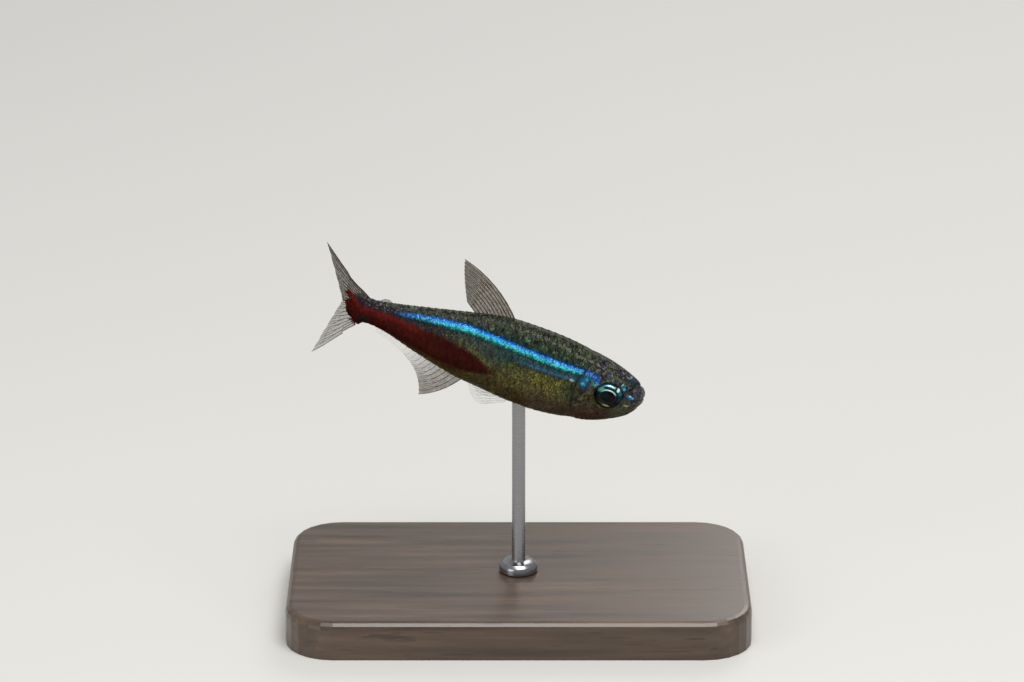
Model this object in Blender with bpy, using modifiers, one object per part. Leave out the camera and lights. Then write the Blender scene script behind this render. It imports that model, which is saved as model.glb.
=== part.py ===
"""A life-size neon tetra on a plain display stand, in metres, +Z up.

The fish is modelled straight and level first. In that fish frame x runs back from the tip of the
snout, y runs out of its right flank and z runs up from its mid-line. Its sizes are in per cent of
the standard length, as fish are described. The last step bends the tail and tips the nose down,
and sets the fish on its rod. In the row's frame its head points along +X.
"""

import math

import bmesh
import bpy
from mathutils import Matrix, Vector

# Driving sizes of the fish
STANDARD_LENGTH = 0.025
PERCENT = STANDARD_LENGTH / 100
GAP = 0.0003
FIN_THICKNESS = 0.0005

# Landmarks down the body: distance behind the snout, height of the back above the mid-line,
# depth of the belly below it, and half the width, in per cent of the standard length
LANDMARKS = {
    "lips": (0.0, 4.3, -0.9, 1.1),
    "snout": (1.0, 5.3, 1.9, 2.2),
    "nostrils": (4.0, 7.5, 5.5, 3.8),
    "eye": (11.6, 10.2, 9.7, 6.0),
    "nape": (19.0, 11.7, 11.7, 6.9),
    "shoulder": (30.0, 13.2, 13.6, 7.2),
    "belly": (41.0, 13.6, 13.8, 6.9),
    "dorsal_fin_front": (51.0, 13.2, 12.9, 6.3),
    "dorsal_fin_rear": (62.0, 10.9, 11.7, 5.3),
    "anal_fin_middle": (76.0, 7.6, 8.5, 3.9),
    "adipose_fin": (87.2, 5.1, 5.3, 2.7),
    "tail_stalk": (94.5, 4.2, 4.5, 2.1),
    "tail_fin_root": (100.0, 5.2, 6.3, 1.7),
}
SECTION_POWER = 2.15
SECTION_EGG = 0.06
AROUND = 36

# Head
EYE_X = 12.1 * PERCENT
EYE_Z = 0.9 * PERCENT
EYE_HALF_LENGTH = 4.8 * PERCENT
EYE_HALF_HEIGHT = 4.3 * PERCENT
EYE_HALF_THICKNESS = 2.4 * PERCENT
EYE_CENTRE_Y = 4.6 * PERCENT
EYE_CLEARANCE = 0.00025
ORBIT_RIM = 0.3 * PERCENT
GILL_CENTRE_X = 6.0 * PERCENT
GILL_RADIUS = 17.0 * PERCENT
GILL_COVER_FRONT_RADIUS = 9.5 * PERCENT
GILL_COVER_LIFT = 0.45 * PERCENT
MOUTH_TIP_Z = 2.6 * PERCENT
MOUTH_CORNER_X = 5.2 * PERCENT
MOUTH_CORNER_Z = -0.6 * PERCENT
MOUTH_GAPE = 0.7 * PERCENT
LIP_RADIUS = 0.75 * PERCENT
NOSTRILS = ((5.6 * PERCENT, 4.6 * PERCENT), (7.0 * PERCENT, 5.1 * PERCENT))
NOSTRIL_RADIUS = 0.5 * PERCENT
NOSTRIL_DEPTH = 1.0 * PERCENT

# The cut between trunk and tail leans from behind the dorsal fin to before the anal fin
TAIL_CUT_TOP_X = 64.5 * PERCENT
TAIL_CUT_BOTTOM_X = 57.6 * PERCENT

# Fins on the mid-line
DORSAL_FRONT_X = 48.3 * PERCENT
DORSAL_REAR_X = 60.6 * PERCENT
DORSAL_APEX = (71.3 * PERCENT, 27.0 * PERCENT)
DORSAL_BULGE = (69.9 * PERCENT, 21.6 * PERCENT)
DORSAL_CORNER = (65.6 * PERCENT, 13.6 * PERCENT)
DORSAL_BOW = Vector((-0.9 * PERCENT, 0.0, 1.9 * PERCENT))
DORSAL_RAYS = 11
ANAL_FRONT_X = 58.0 * PERCENT
ANAL_REAR_X = 89.5 * PERCENT
ANAL_FRONT_RAY = 14.3 * PERCENT
ANAL_REAR_RAY = 1.0 * PERCENT
ANAL_TAPER = 2.5
ANAL_FRONT_SLOPE = math.radians(36.6)
ANAL_REAR_SLOPE = math.radians(24)
ANAL_BOW = Vector((-0.5 * PERCENT, 0.0, -1.2 * PERCENT))
ANAL_RAYS = 18
ADIPOSE_FRONT_X = 87.3 * PERCENT
ADIPOSE_LENGTH = 4.4 * PERCENT
ADIPOSE_HEIGHT = 0.9 * PERCENT
TAIL_END_X = 98.5 * PERCENT
TAIL_LOBE = 30.0 * PERCENT
TAIL_SPREAD = math.radians(25)
TAIL_FORK = (7.7 * PERCENT, 0.9 * PERCENT)
TAIL_WAISTS = {
    1: (17.2 * PERCENT, 9.4 * PERCENT),
    -1: (17.2 * PERCENT, -7.6 * PERCENT),
}
TAIL_BOWS = {
    1: Vector((0.0, 0.0, 0.95 * PERCENT)),
    -1: Vector((0.0, 0.0, -1.9 * PERCENT)),
}
TAIL_LOBE_RAYS = 10

# Paired fins: where each is rooted, how long it is and how far it is spread
PECTORAL = {
    "x": 26.8 * PERCENT,
    "angle": math.radians(117),
    "base": 3.4 * PERCENT,
    "length": 17.0 * PERCENT,
    "rays": 10,
    "fan": math.radians(28),
    "outward": math.radians(22),
    "downward": math.radians(2),
}
PELVIC = {
    "x": 43.6 * PERCENT,
    "angle": math.radians(156),
    "base": 2.6 * PERCENT,
    "length": 13.0 * PERCENT,
    "rays": 7,
    "fan": math.radians(26),
    "outward": math.radians(13),
    "downward": math.radians(8),
}
ROOT_SINK = 2.5 * PERCENT
SCALLOP = 0.97
RIDGE = 0.00009
TIP_THINNING = 0.55

# Pose: the nose dips and the tail sweeps to the fish's right
PITCH = math.radians(20.4)
POSE_PIVOT_X = 0.01228
POSE_PIVOT_Z = 0.0222
BEND_START_X = 60 * PERCENT
STALK_YAW = math.radians(5)
HINGE_X = 97 * PERCENT
HINGE_LENGTH = 7 * PERCENT
FIN_YAW = math.radians(62)
FIN_LIFT = math.radians(15)
FIN_ROLL = math.radians(20)
BEND_STEPS = 600

# Display stand
ROD_X = 37.5 * PERCENT
ROD_RADIUS = 0.00055
COLLAR_RADIUS = 0.0016
COLLAR_HEIGHT = 0.0009
BASE_LENGTH = 0.038
BASE_DEPTH = 0.022
BASE_HEIGHT = 0.0032
BASE_BEVEL = 0.0006
BASE_CORNER = 0.004


def clear_scene():
    """Removes what the start-up file holds."""
    for item in list(bpy.data.objects):
        bpy.data.objects.remove(item)


def material(name, colour, roughness, metallic=0.0):
    """A plain finish for one kind of surface."""
    made = bpy.data.materials.new(name)
    made.use_nodes = True
    shader = made.node_tree.nodes["Principled BSDF"]
    shader.inputs["Base Color"].default_value = (*colour, 1.0)
    shader.inputs["Roughness"].default_value = roughness
    shader.inputs["Metallic"].default_value = metallic
    return made


def blend(low, high, share):
    """Goes smoothly from 0 at low to 1 at high."""
    t = min(1.0, max(0.0, (share - low) / (high - low)))
    return t * t * (3 - 2 * t)


def body_size(x, column):
    """Reads one column of the landmarks at a distance x behind the snout, on a smooth curve."""
    rows = list(LANDMARKS.values())
    at = x / PERCENT
    at = min(max(at, rows[0][0]), rows[-1][0])
    k = max(i for i in range(len(rows) - 1) if rows[i][0] <= at)
    x0, x1 = rows[k][0], rows[k + 1][0]
    v0, v1 = rows[k][column], rows[k + 1][column]
    chord = (v1 - v0) / (x1 - x0)
    before = chord
    after = chord
    if k > 0:
        before = (v1 - rows[k - 1][column]) / (x1 - rows[k - 1][0])
    if k + 2 < len(rows):
        after = (rows[k + 2][column] - v0) / (rows[k + 2][0] - x0)
    width = x1 - x0
    t = (at - x0) / width
    value = (
        (2 * t**3 - 3 * t**2 + 1) * v0
        + (t**3 - 2 * t**2 + t) * width * before
        + (3 * t**2 - 2 * t**3) * v1
        + (t**3 - t**2) * width * after
    )
    return value * PERCENT


def back(x):
    """Height of the back above the mid-line."""
    return body_size(x, 1)


def belly(x):
    """Depth of the belly below the mid-line."""
    return body_size(x, 2)


def section_point(x, angle, grow=0.0):
    """A point of the body's surface: angle 0 is the back, and a right angle the right flank."""
    half_depth = (back(x) + belly(x)) / 2 + grow
    centre = (back(x) - belly(x)) / 2
    half_width = body_size(x, 3) + grow
    power = 2 / SECTION_POWER
    out, up = math.sin(angle), math.cos(angle)
    y = half_width * math.copysign(abs(out) ** power, out) * (1 + SECTION_EGG * up)
    z = centre + half_depth * math.copysign(abs(up) ** power, up)
    return Vector((x, y, z))


def flank(x, z):
    """How far the flank stands out from the mid-plane at a height z."""
    half_depth = (back(x) + belly(x)) / 2
    centre = (back(x) - belly(x)) / 2
    up = min(1.0, abs(z - centre) / half_depth)
    out = (1 - up**SECTION_POWER) ** (1 / SECTION_POWER)
    return body_size(x, 3) * out


def head_relief(x, z):
    """How far the head's bones lift its side: the rim round the eye, and the gill cover."""
    from_eye = math.hypot((x - EYE_X) / EYE_HALF_LENGTH, (z - EYE_Z) / EYE_HALF_HEIGHT)
    rim_width = 0.2
    rim = ORBIT_RIM * math.exp(-(((from_eye - 1 - EYE_CLEARANCE / EYE_HALF_LENGTH) / rim_width) ** 2))
    from_gill = math.hypot(x - GILL_CENTRE_X, z)
    cover = GILL_COVER_LIFT * blend(GILL_COVER_FRONT_RADIUS, GILL_RADIUS, from_gill)
    return rim + (cover if x > GILL_CENTRE_X else 0.0)


def stations(start, end, count, crowding=1.0):
    """Distances from start to end, closer together near the start if crowding is over 1."""
    return [start + (end - start) * (i / (count - 1)) ** crowding for i in range(count)]


def new_object(name, mesh):
    made = bpy.data.objects.new(name, mesh)
    bpy.context.scene.collection.objects.link(made)
    return made


def loft_body(name, distances, grow=0.0, relief=None):
    """A closed skin through the body's sections at the given distances behind the snout."""
    mesh = bmesh.new()
    rings = []
    for x in distances:
        ring = []
        for k in range(AROUND):
            angle = 2 * math.pi * k / AROUND
            point = section_point(x, angle, grow)
            if relief:
                lift = relief(x, point.z) * abs(math.sin(angle))
                point.y += math.copysign(lift, point.y)
            ring.append(mesh.verts.new(point))
        rings.append(ring)
    for one, other in zip(rings, rings[1:]):
        for k in range(AROUND):
            following = (k + 1) % AROUND
            mesh.faces.new((one[k], one[following], other[following], other[k]))
    mesh.faces.new(reversed(rings[0]))
    mesh.faces.new(rings[-1])
    bmesh.ops.recalc_face_normals(mesh, faces=mesh.faces)
    data = bpy.data.meshes.new(name)
    mesh.to_mesh(data)
    mesh.free()
    return new_object(name, data)


def prism(name, outline, half_width=0.02):
    """A block across the whole fish with the given outline in x and z."""
    curve = bpy.data.curves.new(name, "CURVE")
    curve.dimensions = "2D"
    curve.fill_mode = "BOTH"
    curve.extrude = half_width
    spline = curve.splines.new("POLY")
    spline.use_cyclic_u = True
    spline.points.add(len(outline) - 1)
    for slot, (x, z) in zip(spline.points, outline):
        slot.co = (x, z, 0.0, 1.0)
    return solid_from_curve(name, curve, Matrix.Rotation(math.pi / 2, 4, "X"))


def ellipsoid(name, centre, radii, segments):
    """A ball with its poles to the sides, squeezed to the given half sizes."""
    mesh = bmesh.new()
    bmesh.ops.create_uvsphere(mesh, u_segments=segments, v_segments=segments // 2, radius=1.0)
    turn = Matrix.Rotation(math.pi / 2, 4, "X")
    place = Matrix.Translation(centre) @ Matrix.Diagonal((*radii, 1.0)) @ turn
    bmesh.ops.transform(mesh, matrix=place, verts=mesh.verts)
    data = bpy.data.meshes.new(name)
    mesh.to_mesh(data)
    mesh.free()
    return new_object(name, data)


def evaluated_mesh(item):
    """The object's mesh with its modifiers and curve settings worked out."""
    bpy.context.view_layer.update()
    graph = bpy.context.evaluated_depsgraph_get()
    return bpy.data.meshes.new_from_object(item.evaluated_get(graph))


def solid_from_curve(name, curve, turn=None):
    """A closed mesh object from a curve: its caps are loose until they are welded."""
    guide = new_object(name, curve)
    mesh = evaluated_mesh(guide)
    bpy.data.objects.remove(guide)
    welded = bmesh.new()
    welded.from_mesh(mesh)
    bmesh.ops.remove_doubles(welded, verts=welded.verts, dist=1e-7)
    if turn:
        bmesh.ops.transform(welded, matrix=turn, verts=welded.verts)
    bmesh.ops.recalc_face_normals(welded, faces=welded.faces)
    welded.to_mesh(mesh)
    welded.free()
    return new_object(name, mesh)


def combine(target, tool, operation):
    """Joins, cuts or intersects target with tool, and removes the tool."""
    modifier = target.modifiers.new(operation.lower(), "BOOLEAN")
    modifier.operation = operation
    modifier.object = tool
    mesh = evaluated_mesh(target)
    target.modifiers.clear()
    target.data = mesh
    bpy.data.objects.remove(tool)
    return target


def join(target, pieces):
    """Fuses closed pieces with target in one union, and removes them."""
    group = bpy.data.collections.new("pieces")
    bpy.context.scene.collection.children.link(group)
    for piece in pieces:
        group.objects.link(piece)
    modifier = target.modifiers.new("join", "BOOLEAN")
    modifier.operation = "UNION"
    modifier.operand_type = "COLLECTION"
    modifier.collection = group
    mesh = evaluated_mesh(target)
    target.modifiers.clear()
    target.data = mesh
    for piece in pieces:
        bpy.data.objects.remove(piece)
    bpy.data.collections.remove(group)
    return target


def keep_largest(item):
    """Drops every loose scrap but the largest closed surface."""
    mesh = bmesh.new()
    mesh.from_mesh(item.data)
    left = set(mesh.verts)
    islands = []
    while left:
        island = {left.pop()}
        edge = set(island)
        while edge:
            edge = {e.other_vert(v) for v in edge for e in v.link_edges} & left
            left -= edge
            island |= edge
        islands.append(island)
    largest = max(islands, key=len)
    scrap = [v for v in mesh.verts if v not in largest]
    bmesh.ops.delete(mesh, geom=scrap, context="VERTS")
    mesh.to_mesh(item.data)
    mesh.free()
    return item


def gill_edge(radius, reach):
    """The rear edge of the gill cover, from below the throat to above the nape."""
    swing = math.asin(reach / radius)
    steps = 16
    turns = [swing * (2 * k / steps - 1) for k in range(steps + 1)]
    return [(GILL_CENTRE_X + radius * math.cos(a), radius * math.sin(a)) for a in turns]


def mouth_line(x):
    """Height of the closed mouth at a distance x behind the tip of the snout."""
    share = x / MOUTH_CORNER_X
    return MOUTH_TIP_Z + (MOUTH_CORNER_Z - MOUTH_TIP_Z) * share


def lip(side):
    """One lip, a tapered roll from one corner of the mouth round the snout to the other."""
    half = []
    steps = 9
    for k in range(steps):
        share = k / (steps - 1)
        x = MOUTH_CORNER_X * (1 - share) ** 1.6
        z = mouth_line(x) + side * (MOUTH_GAPE / 2 + LIP_RADIUS * (0.25 + 0.4 * share))
        sink = LIP_RADIUS * (0.75 - 0.3 * share)
        swell = 0.3 + 0.7 * math.sin(math.pi / 2 * share)
        half.append((Vector((x + sink * share, max(0.0, flank(x, z) - sink), z)), swell))
    half[-1] = (Vector((LIP_RADIUS * 0.4, 0.0, half[-1][0].z)), 1.0)
    curve = bpy.data.curves.new("lip", "CURVE")
    curve.dimensions = "3D"
    curve.bevel_depth = LIP_RADIUS
    curve.bevel_resolution = 2
    curve.use_fill_caps = True
    spline = curve.splines.new("POLY")
    points = half + [(Vector((p.x, -p.y, p.z)), r) for p, r in reversed(half[:-1])]
    spline.points.add(len(points) - 1)
    for slot, (place, radius) in zip(spline.points, points):
        slot.co = (*place, 1.0)
        slot.radius = radius
    return solid_from_curve("lip", curve)


def nostril(place, side):
    """A cutter for one nostril, set square to the snout's side."""
    x, z = place
    y = side * (flank(x, z) - NOSTRIL_DEPTH / 2)
    mesh = bmesh.new()
    bmesh.ops.create_cone(
        mesh,
        cap_ends=True,
        segments=8,
        radius1=NOSTRIL_RADIUS,
        radius2=NOSTRIL_RADIUS,
        depth=NOSTRIL_DEPTH * 2,
    )
    turn = Matrix.Rotation(math.pi / 2, 4, "X")
    lift = Vector((0.0, side * NOSTRIL_DEPTH / 2, 0.0))
    place = Matrix.Translation(Vector((x, y, z)) + lift) @ turn
    bmesh.ops.transform(mesh, matrix=place, verts=mesh.verts)
    data = bpy.data.meshes.new("nostril")
    mesh.to_mesh(data)
    mesh.free()
    return new_object("nostril", data)


def make_head():
    """Snout, lips, eye sockets, nostrils and gill covers, back to the gill openings."""
    distances = stations(0.0, 30 * PERCENT, 30, 1.5)
    head = loft_body("head", distances, relief=head_relief)
    join(head, [lip(1), lip(-1)])
    ahead = -5 * PERCENT
    reach = 16 * PERCENT
    outline = [(ahead, -reach)] + gill_edge(GILL_RADIUS, reach) + [(ahead, reach)]
    combine(head, prism("head_region", outline), "INTERSECT")
    corner = (MOUTH_CORNER_X, MOUTH_CORNER_Z)
    rise = (MOUTH_TIP_Z - MOUTH_CORNER_Z) / MOUTH_CORNER_X
    front_z = MOUTH_TIP_Z - ahead * rise
    wedge = [corner, (ahead, front_z + MOUTH_GAPE / 2), (ahead, front_z - MOUTH_GAPE / 2)]
    combine(head, prism("mouth", wedge), "DIFFERENCE")
    for side in (1, -1):
        centre = Vector((EYE_X, side * EYE_CENTRE_Y, EYE_Z))
        radii = [half + EYE_CLEARANCE for half in (EYE_HALF_LENGTH, EYE_HALF_THICKNESS, EYE_HALF_HEIGHT)]
        combine(head, ellipsoid("socket", centre, radii, 24), "DIFFERENCE")
        for place in NOSTRILS:
            combine(head, nostril(place, side), "DIFFERENCE")
    return keep_largest(head)


def make_eye(name, side):
    """An eyeball, a little proud of the head."""
    centre = Vector((EYE_X, side * EYE_CENTRE_Y, EYE_Z))
    return ellipsoid(name, centre, (EYE_HALF_LENGTH, EYE_HALF_THICKNESS, EYE_HALF_HEIGHT), 24)


def make_trunk():
    """From the gill openings to the cut before the anal fin."""
    distances = stations(12 * PERCENT, 70 * PERCENT, 26)
    trunk = loft_body("trunk", distances)
    reach = 16 * PERCENT
    edge = gill_edge(GILL_RADIUS + GAP, reach)
    slope = (TAIL_CUT_TOP_X - TAIL_CUT_BOTTOM_X) / (2 * reach)
    middle = (TAIL_CUT_TOP_X + TAIL_CUT_BOTTOM_X) / 2
    far = [(middle + slope * reach * 1.2, reach), (middle - slope * reach * 1.2, -reach)]
    return combine(trunk, prism("trunk_region", edge + far), "INTERSECT")


def make_tail():
    """The tail's flesh, down to the root of the tail fin."""
    distances = stations(50 * PERCENT, TAIL_END_X, 24)
    tail = loft_body("tail", distances)
    reach = 16 * PERCENT
    slope = (TAIL_CUT_TOP_X - TAIL_CUT_BOTTOM_X) / (2 * reach)
    middle = (TAIL_CUT_TOP_X + TAIL_CUT_BOTTOM_X) / 2 + GAP * 1.05
    near = [(middle - slope * reach * 1.2, -reach), (middle + slope * reach * 1.2, reach)]
    behind = 120 * PERCENT
    outline = near + [(behind, reach), (behind, -reach)]
    return combine(tail, prism("tail_region", outline), "INTERSECT")


def fin_sheet(name, rays, rows, root_of, tip_of, normal, root_half=None, bow=None):
    """A fin as one closed plate, its rays raised as ridges on both faces.

    root_of and tip_of give the ends of the ray at a share from the first ray to the last. bow is
    how far the first ray arches forward at its middle, and the last ray has none. Both faces are
    split into triangles alike, so that the plate stays whole where it bends.
    """
    columns = 2 * rays - 1
    bow = bow or Vector((0.0, 0.0, 0.0))
    root_half = root_half or FIN_THICKNESS / 2
    mesh = bmesh.new()
    faces = {1: [], -1: []}
    for j in range(columns):
        share = j / (columns - 1)
        on_ray = j % 2 == 0
        root = root_of(share)
        tip = tip_of(share)
        if not on_ray:
            tip = root.lerp(tip, SCALLOP)
        for face in faces.values():
            face.append([])
        for k in range(rows):
            t = k / (rows - 1)
            half = root_half + (FIN_THICKNESS / 2 - root_half) * min(1.0, 3 * t)
            half *= 1 - TIP_THINNING * blend(0.6, 1.0, t)
            if on_ray and k > 0:
                half += RIDGE * (1 - 0.6 * t)
            middle = root.lerp(tip, t) + bow * (4 * t * (1 - t) * (1 - share))
            for side, face in faces.items():
                face[j].append(mesh.verts.new(middle + normal * side * half))
    for side, face in faces.items():
        for j in range(columns - 1):
            for k in range(rows - 1):
                a, b = face[j][k], face[j + 1][k]
                c, d = face[j + 1][k + 1], face[j][k + 1]
                mesh.faces.new((a, b, c))
                mesh.faces.new((a, c, d))
    rim = [(j, 0) for j in range(columns)]
    rim += [(columns - 1, k) for k in range(1, rows)]
    rim += [(j, rows - 1) for j in range(columns - 2, -1, -1)]
    rim += [(0, k) for k in range(rows - 2, 0, -1)]
    for (j0, k0), (j1, k1) in zip(rim, rim[1:] + rim[:1]):
        a, b = faces[1][j0][k0], faces[1][j1][k1]
        c, d = faces[-1][j1][k1], faces[-1][j0][k0]
        mesh.faces.new((a, b, c))
        mesh.faces.new((a, c, d))
    bmesh.ops.recalc_face_normals(mesh, faces=mesh.faces)
    data = bpy.data.meshes.new(name)
    mesh.to_mesh(data)
    mesh.free()
    return new_object(name, data)


def curve_point(points, share):
    """A point of the Bezier curve with three or four control points, in x and z."""
    points = [Vector((x, 0.0, z)) for x, z in points]
    while len(points) > 1:
        points = [one.lerp(other, share) for one, other in zip(points, points[1:])]
    return points[0]


ACROSS = Vector((0.0, 1.0, 0.0))


def make_dorsal_fin():
    """The tall fin on the back, half folded as the fish glides."""

    def root(share):
        x = DORSAL_FRONT_X + (DORSAL_REAR_X - DORSAL_FRONT_X) * share
        return Vector((x, 0.0, back(x) + GAP))

    def tip(share):
        return curve_point((DORSAL_APEX, DORSAL_BULGE, DORSAL_CORNER), share)

    return fin_sheet("dorsal_fin", DORSAL_RAYS, 8, root, tip, ACROSS, bow=DORSAL_BOW)


def make_anal_fin():
    """The long fin under the tail, with a short lobe in front."""

    def root(share):
        x = ANAL_FRONT_X + (ANAL_REAR_X - ANAL_FRONT_X) * share
        return Vector((x, 0.0, -belly(x) - GAP))

    def tip(share):
        length = ANAL_REAR_RAY + (ANAL_FRONT_RAY - ANAL_REAR_RAY) * (1 - share) ** ANAL_TAPER
        slope = ANAL_FRONT_SLOPE + (ANAL_REAR_SLOPE - ANAL_FRONT_SLOPE) * share
        run = Vector((math.cos(slope), 0.0, -math.sin(slope)))
        return root(share) + run * length

    return fin_sheet("anal_fin", ANAL_RAYS, 6, root, tip, ACROSS, bow=ANAL_BOW)


def make_adipose_fin():
    """The small fleshy fin without rays, before the tail fin."""

    def root(share):
        x = ADIPOSE_FRONT_X + ADIPOSE_LENGTH * 0.55 * share
        return Vector((x, 0.0, back(x) + GAP))

    def tip(share):
        swell = math.sin(math.pi * (0.18 + 0.64 * share))
        x = ADIPOSE_FRONT_X + ADIPOSE_LENGTH * (0.45 + 0.6 * share)
        return Vector((x, 0.0, back(x) + GAP + ADIPOSE_HEIGHT * swell * (1 - 0.35 * share)))

    made = fin_sheet("adipose_fin", 4, 5, root, tip, ACROSS)
    return made


def make_tail_lobe(name, side):
    """One lobe of the forked tail fin: side is 1 for the upper and -1 for the lower."""
    root_x = TAIL_END_X + GAP
    outer_z = back(TAIL_END_X) if side > 0 else -belly(TAIL_END_X)
    inner_z = TAIL_FORK[1] + side * GAP / 2
    notch = (root_x + TAIL_FORK[0], inner_z)
    apex = (
        root_x + TAIL_LOBE * math.cos(TAIL_SPREAD),
        side * (back(TAIL_END_X) + TAIL_LOBE * math.sin(TAIL_SPREAD)),
    )
    waist = (root_x + TAIL_WAISTS[side][0], TAIL_WAISTS[side][1])

    def root(share):
        return Vector((root_x, 0.0, outer_z + (inner_z - outer_z) * share))

    def tip(share):
        return curve_point((apex, waist, notch), 1 - (1 - share) ** 1.25)

    root_half = body_size(STANDARD_LENGTH, 3) * 0.9
    return fin_sheet(name, TAIL_LOBE_RAYS, 9, root, tip, ACROSS, root_half, TAIL_BOWS[side])


def make_paired_fin(name, fin, side):
    """A pectoral or pelvic fin: a fan of rays rooted in the flank and cut clear of it."""
    seat = section_point(fin["x"], side * fin["angle"])
    outward, downward = fin["outward"], fin["downward"]
    run = Vector((
        math.cos(outward) * math.cos(downward),
        side * math.sin(outward),
        -math.cos(outward) * math.sin(downward),
    ))
    width = Vector((math.sin(downward), 0.0, math.cos(downward)))
    normal = run.cross(width).normalized()
    seat -= run * ROOT_SINK

    def root(share):
        return seat + width * fin["base"] * (0.5 - share)

    def tip(share):
        turn = fin["fan"] * (0.5 - share)
        reach = fin["length"] * (1 - 0.45 * share**1.6) + ROOT_SINK
        if share == 0.0:
            reach *= 0.93
        return root(share) + (run * math.cos(turn) + width * math.sin(turn)) * reach

    made = fin_sheet(name, fin["rays"], 7, root, tip, normal)
    distances = stations(fin["x"] - 22 * PERCENT, fin["x"] + 26 * PERCENT, 30)
    combine(made, loft_body("clear_of_body", distances, grow=GAP), "DIFFERENCE")
    return keep_largest(made)


def tail_turn(x):
    """Yaw, lift and roll that the mid-line has taken on at a distance x behind the snout."""
    share = min(1.0, max(0.0, (x - BEND_START_X) / (HINGE_X - BEND_START_X)))
    hinge = blend(HINGE_X, HINGE_X + HINGE_LENGTH, x)
    yaw = STALK_YAW * share**2 + (FIN_YAW - STALK_YAW) * hinge
    return yaw, FIN_LIFT * hinge, FIN_ROLL * hinge


def midline_path():
    """The bent mid-line at even distances behind the snout: places, and what is aside and up."""
    step = 1.4 * STANDARD_LENGTH / BEND_STEPS
    place = Vector((0.0, 0.0, 0.0))
    path = []
    for k in range(BEND_STEPS + 1):
        yaw, lift, roll = tail_turn(k * step)
        along = Vector((math.cos(yaw) * math.cos(lift), math.sin(yaw) * math.cos(lift), math.sin(lift)))
        level = Vector((-math.sin(yaw), math.cos(yaw), 0.0))
        upright = along.cross(level)
        aside = level * math.cos(roll) + upright * math.sin(roll)
        up = upright * math.cos(roll) - level * math.sin(roll)
        path.append((place.copy(), aside, up))
        place += along * step
    return step, path


def bend(point, step, path):
    """Where a point of the straight fish goes when its tail is swept aside."""
    if point.x <= 0:
        return point.copy()
    at = min(point.x / step, len(path) - 1.001)
    k = int(at)
    near, far = path[k], path[k + 1]
    place, aside, up = (one.lerp(other, at - k) for one, other in zip(near, far))
    return place + aside * point.y + up * point.z


def set_pose(items):
    """Bends, pitches and lifts the fish to its place over the base."""
    step, path = midline_path()
    seat = Vector((ROD_X, 0.0, -belly(ROD_X)))
    turn = Matrix.Rotation(PITCH, 4, "Y") @ Matrix.Rotation(math.pi, 4, "Z")
    turned = turn @ Matrix.Translation((-POSE_PIVOT_X, 0.0, 0.0))
    shift = -(turned @ seat).x
    place = Matrix.Translation((shift, 0.0, POSE_PIVOT_Z)) @ turned
    for item in items:
        for vertex in item.data.vertices:
            vertex.co = place @ bend(vertex.co, step, path)
        item.data.update()


def make_rod(clear_body):
    """A turned rod on a low collar. Its top is cut to the curve of the belly that it carries."""
    bottom = BASE_HEIGHT + GAP
    top = POSE_PIVOT_Z
    profile = [
        (0.0, top),
        (ROD_RADIUS, top),
        (ROD_RADIUS, bottom + COLLAR_HEIGHT),
        (COLLAR_RADIUS * 0.8, bottom + COLLAR_HEIGHT),
        (COLLAR_RADIUS, bottom + COLLAR_HEIGHT * 0.75),
        (COLLAR_RADIUS, bottom),
        (0.0, bottom),
    ]
    mesh = bpy.data.meshes.new("stand_rod")
    mesh.from_pydata([(x, 0.0, z) for x, z in profile], [(k, k + 1) for k in range(6)], [])
    rod = new_object("stand_rod", mesh)
    screw = rod.modifiers.new("turn", "SCREW")
    screw.axis = "Z"
    screw.steps = 20
    screw.render_steps = 20
    screw.use_merge_vertices = True
    screw.merge_threshold = 1e-6
    rod.data = evaluated_mesh(rod)
    rod.modifiers.clear()
    combine(rod, clear_body, "DIFFERENCE")
    return keep_largest(rod)


def make_base():
    """A flat block with rounded corners and an eased edge."""
    mesh = bmesh.new()
    bmesh.ops.create_cube(mesh, size=1.0)
    size = Matrix.Diagonal((BASE_LENGTH, BASE_DEPTH, BASE_HEIGHT, 1.0))
    place = Matrix.Translation((0.0, 0.0, BASE_HEIGHT / 2)) @ size
    bmesh.ops.transform(mesh, matrix=place, verts=mesh.verts)
    upright = [e for e in mesh.edges if abs(e.verts[0].co.z - e.verts[1].co.z) > BASE_HEIGHT / 2]
    bmesh.ops.bevel(
        mesh, geom=upright, offset=BASE_CORNER, segments=6, profile=0.5, affect="EDGES"
    )
    top = [e for e in mesh.edges if min(v.co.z for v in e.verts) > BASE_HEIGHT * 0.99]
    bmesh.ops.bevel(mesh, geom=top, offset=BASE_BEVEL, segments=3, profile=0.5, affect="EDGES")
    data = bpy.data.meshes.new("stand_base")
    mesh.to_mesh(data)
    mesh.free()
    return new_object("stand_base", data)


def finish(item, surface):
    """Gives a piece its material and smooth shading."""
    item.data.materials.clear()
    item.data.materials.append(surface)
    item.data.shade_smooth()
    item.data.set_sharp_from_angle(angle=math.radians(40))


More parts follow.
